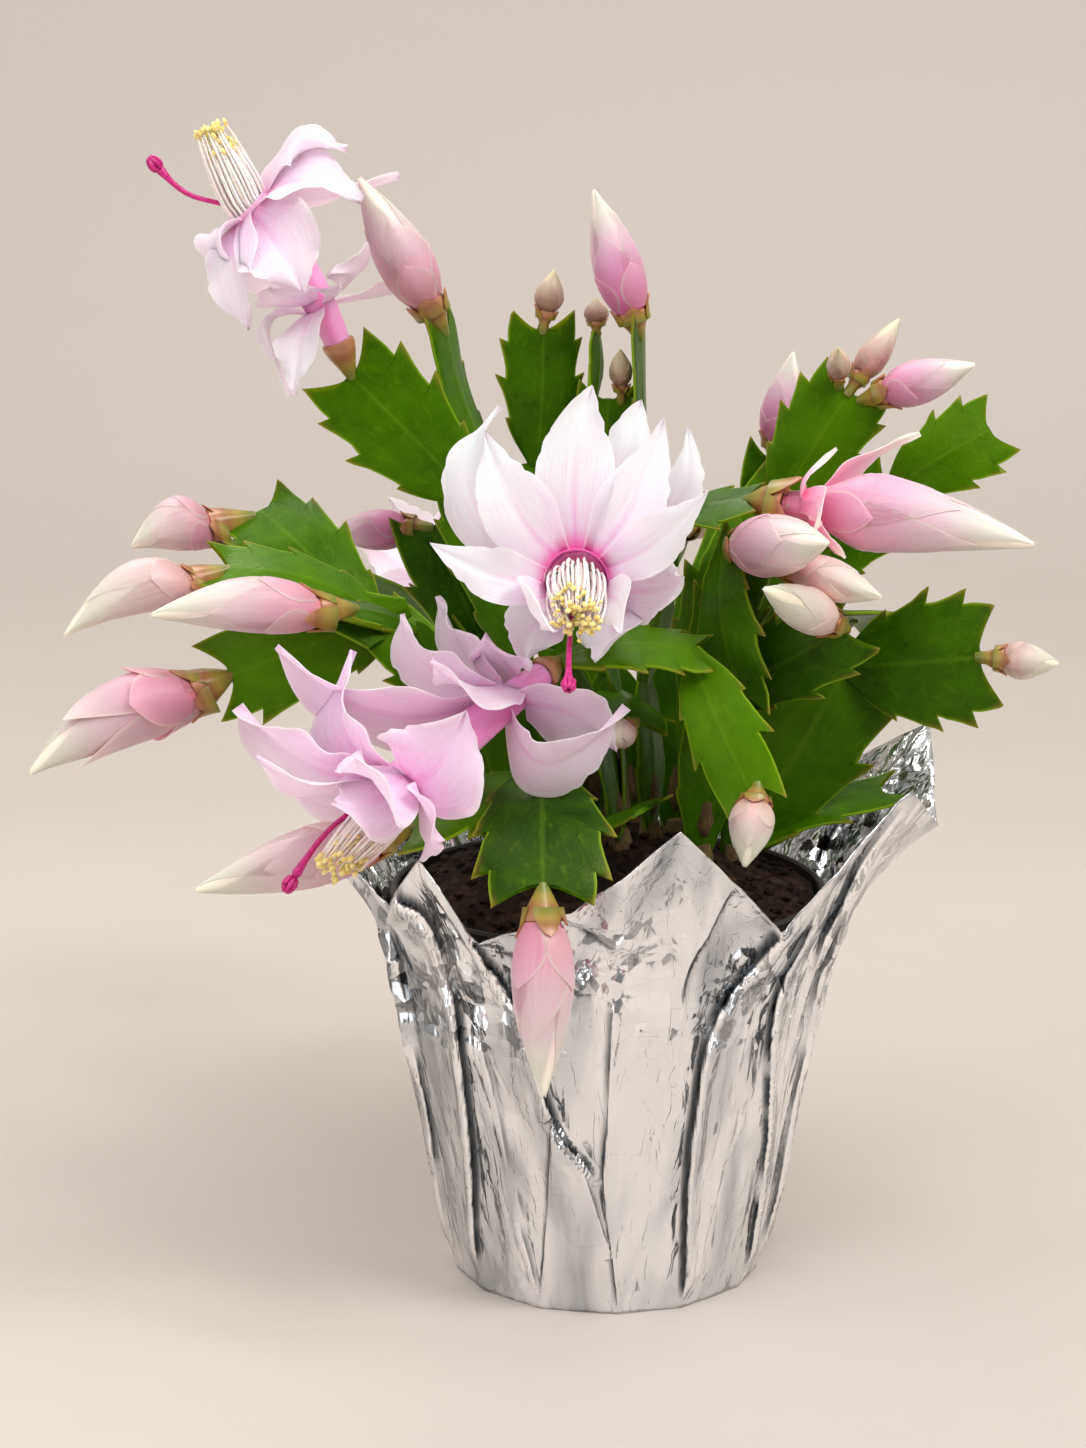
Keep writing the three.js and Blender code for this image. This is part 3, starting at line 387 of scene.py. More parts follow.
def makeWoodyStem():
    material = newMaterial("woodyStem", Roughness=0.75)
    where = objectSpot(material)
    bark = noiseOf(material, leafSpot(material, 9.0, 2.5), 3.0, 6, 0.65, 0.5)
    tint = rampOf(material, bark, [(0.3, "3b2b18"), (0.55, "6d5631"), (0.75, "7c7a3a")])
    height = sums(material, "MULTIPLY_ADD", noiseOf(material, where, 700, 5), 0.5, bark)
    setShader(material, Base_Color=tint, Normal=bumpOf(material, height, 0.5, 0.6))
    return material


def makeBudCup():
    material = newMaterial("budCup", Roughness=0.38, Subsurface_Weight=0.2, Subsurface_Scale=0.001,
                           Subsurface_Radius=(1.0, 0.6, 0.2), Coat_Weight=0.2, Coat_Roughness=0.25)
    where = objectSpot(material)
    flow = sums(material, "MULTIPLY_ADD", noiseOf(material, where, 240, 4), 0.35,
                layer(material, "along"))
    tint = rampOf(material, flow, [(0.15, "6f7a22"), (0.55, "a08a35"), (0.8, "9c6a38"), (1.0, "b5805a")])
    blush = remap(material, noiseOf(material, where, 120, 3), 0.5, 0.7, 0.0, 0.45)
    tint = blendTint(material, blush, tint, "8b4a32")
    setShader(material, Base_Color=tint,
              Normal=bumpOf(material, noiseOf(material, where, 600, 4), 0.2, 0.3))
    return material


def makeBudPetal():
    # tone runs from cream (0) to deep pink (1), along runs from the bud's base to its tip
    material = newMaterial("budPetal", Roughness=0.42, Subsurface_Weight=0.5, Subsurface_Scale=0.003,
                           Subsurface_Radius=(1.0, 0.6, 0.7), Sheen_Weight=0.2, Sheen_Roughness=0.5)
    along = layer(material, "along")
    side = aside(material)
    streaks = noiseOf(material, leafSpot(material, 7.0, 1.3), 3.0, 4, 0.6, 0.3)
    place = sums(material, "MULTIPLY_ADD", streaks, 0.14, sums(material, "SUBTRACT", along, 0.07))
    pale = rampOf(material, place, [(0.0, "ecac94"), (0.2, "fbc9bc"), (0.42, "fde4d4"), (1.0, "f8f2d6")])
    pink = rampOf(material, place, [(0.0, "f0669f"), (0.2, "ff7fb8"), (0.45, "ffa0cc"), (0.66, "ffc9dc"),
                                    (0.82, "fdeadd"), (1.0, "fbf3e0")])
    tint = blend(material, layer(material, "tone"), pale, pink)
    edge = remap(material, side, 0.8, 1.0, 0.0, 0.45)
    tint = blendTint(material, edge, tint, "fdf1e2")
    unripe = rampOf(material, place, [(0.0, "8d5a35"), (0.3, "b98a62"), (0.7, "d9b996"), (1.0, "c9bd84")])
    tint = blend(material, layer(material, "accent"), tint, unripe)
    veins = remap(material, streaks, 0.5, 0.7, 0.0, 0.2)
    tint = blendTint(material, veins, tint, "f690b8")
    setShader(material, Base_Color=tint, Normal=bumpOf(material, streaks, 0.25, 0.3))
    return material


def makeFlowerPetal():
    # tone is how pink the flower is, accent is how near a point lies to the hot pink throat
    material = newMaterial("flowerPetal", Roughness=0.4, Subsurface_Weight=0.65, Subsurface_Scale=0.004,
                           Subsurface_Radius=(1.0, 0.7, 0.8), Sheen_Weight=0.25, Sheen_Roughness=0.4)
    side = aside(material)
    along = layer(material, "along")
    veins = noiseOf(material, leafSpot(material, 13.0, 1.1), 3.0, 3, 0.5, 0.25)
    broad = noiseOf(material, objectSpot(material), 70, 3, 0.5)
    strength = sums(material, "MULTIPLY_ADD", broad, 0.3, layer(material, "tone"))
    tint = rampOf(material, strength, [(0.12, "f7f3ff"), (0.5, "ffe2fb"), (0.9, "ffbcee")])
    fading = remap(material, along, 0.0, 0.9, 0.4, 0.1)
    lines = product(material, remap(material, veins, 0.5, 0.68), fading)
    tint = blendTint(material, lines, tint, "ec80c4")
    fading = remap(material, along, 0.05, 0.75, 0.5, 0.0)
    rib = product(material, remap(material, side, 0.0, 0.16, 1.0, 0.0), fading)
    tint = blendTint(material, rib, tint, "ea6bbb")
    glow = remap(material, along, 0.05, 0.5, 0.55, 0.0)
    tint = blendTint(material, product(material, glow, 0.8), tint, "f7a8de")
    tint = blendTint(material, layer(material, "accent"), tint, "ea1f94")
    edge = remap(material, side, 0.82, 1.0, 0.0, 0.5)
    tint = blendTint(material, edge, tint, "fffafc")
    setShader(material, Base_Color=tint, Normal=bumpOf(material, veins, 0.3, 0.3))
    return material


def makeThread(name, low, high, rough):
    material = newMaterial(name, Roughness=rough, Subsurface_Weight=0.3, Subsurface_Scale=0.001)
    where = objectSpot(material)
    tint = rampOf(material, noiseOf(material, where, 900, 3), [(0.35, low), (0.65, high)])
    height = noiseOf(material, where, 2600, 3)
    setShader(material, Base_Color=tint, Normal=bumpOf(material, height, 0.3, 0.15))
    return material


silverFoil = makeFoilMetal()
potPlastic = makePotPlastic()
peat = makePeat()
padGreen = makePadGreen()
woodyStem = makeWoodyStem()
budCup = makeBudCup()
budPetal = makeBudPetal()
flowerPetal = makeFlowerPetal()
filamentWhite = makeThread("filamentWhite", "f4e6e4", "fffaf2", 0.5)
pollenYellow = makeThread("pollenYellow", "e9cf6a", "fbf0b4", 0.8)
stylePink = makeThread("stylePink", "b0106a", "d62a8c", 0.35)
print("cactus: materials made")


# the foil sleeve: a folded sheet with a cut, flared edge
# rim: turn in degrees from the viewer's side, distance out, height of each tip and notch
# pleats: the turns of the corners between flat panels, at five heights from the base to the rim
# folds: depth, how many degrees it fades over, the raised side, then its path of (turn, share up)

foil = dict(
    baseRadius=40.4, wallTop=86, wallRadius=59.6, shoulder=0.68, thickness=0.45, clear=0.6,
    bowOut=0.4, bowUp=0.55, columns=480, baseRows=4, wallRows=60, flareRows=32,
    pleats=[(-78, -74, -66, -61, -60), (-53, -46, -41, -40, -46), (-26, -19.5, -16.5, -24.5, -30),
            (3, -1.5, -1, 0, 2), (27, 23.5, 23.2, 31, 37), (58, 55, 47, 44, 47), (78, 70, 64, 61, 60),
            (102, 101, 98, 94, 92), (128, 126, 122, 116, 113), (155, 152, 147, 140, 136),
            (181, 178, 172, 164, 160), (207, 203, 195, 188, 184), (232, 228, 220, 212, 208),
            (257, 253, 245, 236, 232)],
    rim=[(-103, 90, 124), (-88, 81, 112), (-71, 79, 125), (-50, 72, 111), (-39, 76, 126),
         (-28, 70, 105), (-8, 74, 116), (12, 79, 137), (36, 70, 107), (61, 85, 139), (92, 86, 119),
         (113, 95, 139), (136, 81, 116), (160, 88, 135), (184, 78, 113), (208, 86, 133), (232, 80, 115)],
    folds=[
        (2.0, 11, -1, [(-29, 0.97), (-27, 0.85), (-24, 0.73), (-20, 0.59), (-15, 0.43), (-8, 0.36),
                       (-3, 0.3)]),
        (2.4, 11, 1, [(36, 0.97), (33, 0.8), (27, 0.69), (24, 0.6), (23, 0.47), (23.5, 0.3), (27, 0.02)]),
        (1.8, 7, -1, [(-46, 0.98), (-41, 0.86), (-40, 0.7), (-41, 0.5), (-45, 0.28), (-54, 0.04)]),
        (1.0, 9, 1, [(-16, 0.42), (-19, 0.27), (-22, 0.14), (-26, 0.01)]),
        (0.8, 6, -1, [(-34, 0.58), (-32, 0.38), (-31, 0.22), (-26, 0.02)]),
        (1.1, 13, 1, [(0, 0.69), (-0.5, 0.57), (-1, 0.45), (-2, 0.3), (1.5, 0.1), (3, 0.01)]),
        (1.2, 7, -1, [(-60, 0.8), (-63, 0.6), (-67, 0.4), (-75, 0.2), (-77, 0.03)]),
        (0.8, 5, 1, [(-53, 0.68), (-58, 0.45), (-62, 0.3), (-72, 0.05)]),
        (1.5, 7, 1, [(47, 0.85), (43, 0.7), (45, 0.55), (49, 0.43), (54, 0.3), (58, 0.15), (62, 0.02)]),
        (1.2, 7, 1, [(61, 0.75), (64, 0.48), (69, 0.27), (76, 0.03)]),
        (0.8, 7, -1, [(41, 0.41), (36, 0.29), (31, 0.1), (27, 0.02)]),
        (0.6, 8, -1, [(-9, 0.38), (-4, 0.24), (2, 0.1), (3, 0.03)]),
        (0.9, 10, 1, [(-9, 0.98), (0, 0.83), (9, 0.78), (17, 0.76)]),
        (1.0, 8, -1, [(24, 0.98), (21.5, 0.84), (18, 0.76), (17, 0.68)]),
        (0.7, 6, 1, [(-90, 0.8), (-92, 0.5), (-100, 0.1)]),
    ],
)


def foilRimAt(turn):
    rim = foil["rim"]
    around = rim + [(rim[0][0] + 360, *rim[0][1:])]
    at = (turn - rim[0][0]) % 360 + rim[0][0]
    for before, after in zip(around, around[1:]):
        if at <= after[0]:
            share = (at - before[0]) / (after[0] - before[0])
            return mix(before[1], after[1], share), mix(before[2], after[2], share)


def foilProfile(turn, share):  # how far out and up the plain sleeve is
    shoulder = foil["shoulder"]
    if share <= shoulder:
        out = mix(foil["baseRadius"], foil["wallRadius"], share / shoulder)
        return out, foil["wallTop"] * share / shoulder
    out, up = foilRimAt(turn)
    t = (share - shoulder) / (1 - shoulder)
    middleOut = mix(foil["wallRadius"], out, foil["bowOut"])
    middleUp = mix(foil["wallTop"], up, foil["bowUp"])
    parts = ((1 - t) * (1 - 2 * t), 4 * t * (1 - t), t * (2 * t - 1))
    return (parts[0] * foil["wallRadius"] + parts[1] * middleOut + parts[2] * out,
            parts[0] * foil["wallTop"] + parts[1] * middleUp + parts[2] * up)


def pleatsAt(share):
    step = min(3, int(share * 4))
    lines = [mix(pleat[step], pleat[step + 1], share * 4 - step) for pleat in foil["pleats"]]
    return [*lines, lines[0] + 360]


def panelReach(turn, lines):  # the sheet runs straight from one pleat to the next
    at = (turn - lines[0]) % 360 + lines[0]
    for before, after in zip(lines, lines[1:]):
        if at <= after:
            half = math.radians(after - before) / 2
            straight = math.cos(half) / math.cos(math.radians(at - (before + after) / 2))
            return straight * (1.3 - 0.3 * math.cos(half))  # a wide panel stands out to keep its girth


def foldsAt(share):
    # the folds that cross this height: turn, raised side, depth, fade, half the step's width, sharpness;
    # the sharpness, patchy along the fold, sets how strong its painted shadow and highlight are
    found = []
    for depth, fade, raised, path in foil["folds"]:
        low, high = path[-1][1], path[0][1]
        if not low - 0.02 < share < high + 0.04:
            continue
        knots = [(b, a) for a, b in reversed(path)]
        at = through(knots, share)[0]
        slant = abs(through(knots, share + 0.01)[0] - through(knots, share - 0.01)[0]) / 2
        depth *= ease(low - 0.02, low + 0.08, share) * (1 - ease(high - 0.02, high + 0.04, share))
        patchy = noise.noise(Vector((at * 0.3, share * 6, fade))) + 0.3 * depth
        sharp = min(1, 0.7 * depth) * ease(-0.2, 0.45, patchy)
        found.append((at, raised, 1.5 * depth, fade, 0.9 + 0.5 * slant, sharp))
    return found


# crumples: the crumpled band's height and width as shares of the sheet, then how deep each kind is
# outside the band and how much deeper within it, and the three sizes of soft creases

crumples = dict(
    bandAt=0.74, bandWide=0.09, coarse=(0.3, 1.9), fine=(0.15, 1.3), creases=(2.0, 1.1, 0.5),
    creaseDepth=0.9,
)


def foilOffset(turn, share, folds):  # how far the sheet stands off, and the nearest sharp fold
    total = 0
    past = 99
    sharp = 0
    for at, raised, depth, fade, half, crisp in folds:
        away = ((turn - at + 180) % 360 - 180) * raised
        if abs(away) < 5 * fade:
            behind = -0.45 * math.exp(min(0, away) / (0.5 * fade))
            total += depth * mix(behind, math.exp(-max(0, away) / fade), ease(-half, half, away))
        # the nearest sharp fold and its sharpness place the foil's painted fold shadow and highlight
        if abs(away) < abs(past) and crisp > 0.05:
            past, sharp = away, crisp * (1 - ease(2.2, 3.4, abs(away)))
    angle = math.radians(turn)
    spotHere = Vector((math.sin(angle) * 2.1, -math.cos(angle) * 2.1, share * 3.4))
    crumple = noise.voronoi(spotHere * 2.4)[0]
    fine = noise.voronoi(spotHere * 6.5 + Vector((7, 3, 1)))[0]
    patch = ease(0.35, 0.7, noise.noise(spotHere * 0.8 + Vector((3, 1, 5))) + 0.5)
    band = math.exp(-((share - crumples["bandAt"]) / crumples["bandWide"]) ** 2) * (0.35 + 0.65 * patch)
    for kind, cells, most in (("coarse", crumple, 0.5), ("fine", fine, 0.4)):
        calm, more = crumples[kind]
        total += (calm + more * band) * (min(most, cells[1] - cells[0]) - most / 2)
    tall = Vector((spotHere.x * 1.5, spotHere.y * 1.5, share * 1.5))
    broad, middle, small = crumples["creases"]
    creases = broad * abs(noise.noise(tall)) + middle * abs(noise.noise(tall * 2.3 + Vector((5, 2, 8))))
    creases += small * abs(noise.noise(tall * 5 + Vector((1, 7, 2))))
    return total + crumples["creaseDepth"] * (0.8 - creases) * ease(0.0, 0.2, share), past, sharp


def sideFolds():  # more folds on the sides and the back, each from a corner of the base
    draw = random.Random(seeds["folds"])
    for corner in [pleat[0] for pleat in foil["pleats"]]:
        if -80 < corner < 80:
            continue
        for raised in (-1, 1):
            top = draw.uniform(0.45, 0.9)
            lean = raised * draw.uniform(3, 12)
            path = []
            for k in (3, 2, 1, 0):  # from its top down to the corner
                path.append((corner + lean * (0.35 + 0.65 * k / 3), mix(top, 0.02, (3 - k) / 3)))
            foil["folds"].append((draw.uniform(0.7, 1.6), draw.uniform(5, 10), raised, path))
    for k, (turn, *_) in enumerate(foil["rim"]):
        if k % 2 and abs(turn) > 45:
            foil["folds"].append((1.6, 9, 1, [(turn, 0.98), (turn - 1, 0.85), (turn - 2, 0.68)]))


def clearOfPot(out, up):  # the sheet drapes over the pot and its lip and never sinks into them
    shoulder = pot["height"] - pot["lipHeight"]
    neck = mix(pot["baseRadius"], pot["neckRadius"], up / shoulder)
    lip = ease(shoulder - 8, shoulder - 2, up) * (1 - ease(pot["height"] + 1, pot["height"] + 4, up))
    return max(out, mix(neck, pot["rimRadius"], lip) + foil["thickness"] + foil["clear"])


def makeFoil():
    sideFolds()
    bm = newMesh()
    rows = foil["baseRows"] + foil["wallRows"] + foil["flareRows"]
    verts = bmesh.ops.create_grid(bm, x_segments=foil["columns"], y_segments=rows, size=1)["verts"]
    layers = layersOf(bm)
    shares = []
    for row in range(-foil["baseRows"], foil["wallRows"] + foil["flareRows"] + 1):
        wall = foil["shoulder"] * row / foil["wallRows"]
        flare = foil["shoulder"] + (1 - foil["shoulder"]) * (row - foil["wallRows"]) / foil["flareRows"]
        shares.append(max(0, wall if row <= foil["wallRows"] else flare))
    lines = [pleatsAt(share) for share in shares]
    folds = [foldsAt(share) for share in shares]
    for vert in verts:
        turn = vert.co.x * 180
        row = round((vert.co.y + 1) / 2 * rows)
        share = shares[row]
        offset, past, sharp = foilOffset(turn, share, folds[row])
        reach = panelReach(turn, lines[row])
        if row < foil["baseRows"]:
            out, up = (foil["baseRadius"] * reach + offset) * row / foil["baseRows"], 0
        else:
            out, up = foilProfile(turn, share)
            before = foilProfile(turn, max(0, share - 0.02))
            after = foilProfile(turn, min(1, share + 0.02))
            slope = Vector((after[1] - before[1], before[0] - after[0])).normalized()
            # past and sharp go to the tone and accent layers, which place the painted fold shadow and
            # highlight
            for kept, value in zip(layers, (turn / 180, share, min(9, max(-9, past)), sharp)):
                vert[kept] = value
            out = out * reach + slope.x * offset
            up += slope.y * offset * ease(0, 0.1, share)
            out = clearOfPot(out, up)
        angle = math.radians(turn)
        vert.co = Vector((out * math.sin(angle), -out * math.cos(angle), max(0, up))) * mm
    bmesh.ops.remove_doubles(bm, verts=verts, dist=mergeDistance)
    bmesh.ops.recalc_face_normals(bm, faces=bm.faces)
    under = min(bm.faces, key=lambda face: face.calc_center_median().length)
    if under.normal.z > 0:
        bmesh.ops.reverse_faces(bm, faces=bm.faces)
    piece = finishPiece(bm, "foilSleeve", [silverFoil], ["foil_sleeve"], 180, False)
    wall = piece.modifiers.new("wall", "SOLIDIFY")
    wall.thickness = foil["thickness"] * mm
    wall.offset = -1
    return piece


def addTurned(bm, profile, sides, at=(0, 0), slot=0, shape=None):
    # a closed body turned about an upright axis, from its lowest middle round to its highest
    rings = [(Vector((*at, up)), Vector((1, 0, 0)), Vector((0, 1, 0)), out) for out, up in profile]
    addTube(bm, rings, sides, slot=slot, shape=shape)


# the growing pot

pot = dict(
    height=104, baseRadius=38.6, neckRadius=53, rimRadius=57, lipHeight=16, wall=1.5, floor=2, lift=1.3,
    sides=96,
)


def makePot():
    neck = pot["neckRadius"]
    rim = pot["rimRadius"]
    wall = pot["wall"]
    high = pot["height"]
    shoulder = high - pot["lipHeight"]
    inside = pot["lift"] + pot["floor"]
    profile = [
        (0, pot["lift"]), (pot["baseRadius"] - 1, pot["lift"]), (pot["baseRadius"], pot["lift"] + 1),
        (neck, shoulder - 1), (rim - 0.6, shoulder), (rim, shoulder + 0.6), (rim, high - 0.7),
        (rim - 0.7, high), (rim - wall + 0.1, high), (rim - wall - 0.4, high - 0.6),
        (rim - wall - 1.4, shoulder + 3), (neck - wall, shoulder - 2), (pot["baseRadius"] - wall, inside),
        (0, inside),
    ]
    bm = newMesh()
    addTurned(bm, profile, pot["sides"])
    return finishPiece(bm, "growingPot", [potPlastic], ["growing_pot"], 35)


# the soil: domed, lumpy, with loose crumbs

soil = dict(
    edge=101, crown=118, radius=54, crumbs=420, crumbSizes=(0.5, 1.7), lumps=1.5, sides=150, rings=56,
)


def soilHeight(x, y):
    share = min(1, math.hypot(x, y) / pot["rimRadius"])
    return soil["edge"] + (soil["crown"] - soil["edge"]) * math.cos(share * math.pi / 2) ** 1.3


def soilTop(x, y):
    lump = noise.fractal(Vector((x, y, 0)) * 0.09, 0.8, 2.1, 5)
    cells = noise.voronoi(Vector((x, y, 3)) * 0.16)[0]
    return soilHeight(x, y) + soil["lumps"] * (lump + 0.9 * (0.5 - cells[0]))


def makeSoil():
    draw = random.Random(seeds["soil"])
    bm = newMesh()
    rings = soil["rings"]
    profile = [(0, 3.7), (36, 3.7), (50.2, 84), (50.4, 92), (soil["radius"], 98)]
    profile += [(soil["radius"] * (1 - k / rings), 0) for k in range(rings + 1)]
    addTurned(bm, profile, soil["sides"])
    for vert in bm.verts:
        if vert.co.z == 0:
            vert.co.z = soilTop(vert.co.x / mm, vert.co.y / mm) * mm
    for number in range(soil["crumbs"]):
        far = soil["radius"] * math.sqrt(draw.random()) * 0.97
        turn = draw.uniform(0, 2 * math.pi)
        size = draw.uniform(*soil["crumbSizes"])
        at = Vector((far * math.cos(turn), far * math.sin(turn), 0))
        at.z = soilTop(at.x, at.y) + size * 0.3
        crumb = bmesh.ops.create_icosphere(bm, subdivisions=1, radius=size * mm)["verts"]
        for vert in crumb:
            vert.co *= 1 + 0.5 * noise.noise(vert.co * 900 + Vector((number, 0, 0)))
            vert.co.z *= 0.7
            vert.co += at * mm
    return finishPiece(bm, "pottingSoil", [peat], ["soil"], 38)


makeFoil()
makePot()
makeSoil()
print("cactus: sleeve, pot and soil made")


# the plant's tables

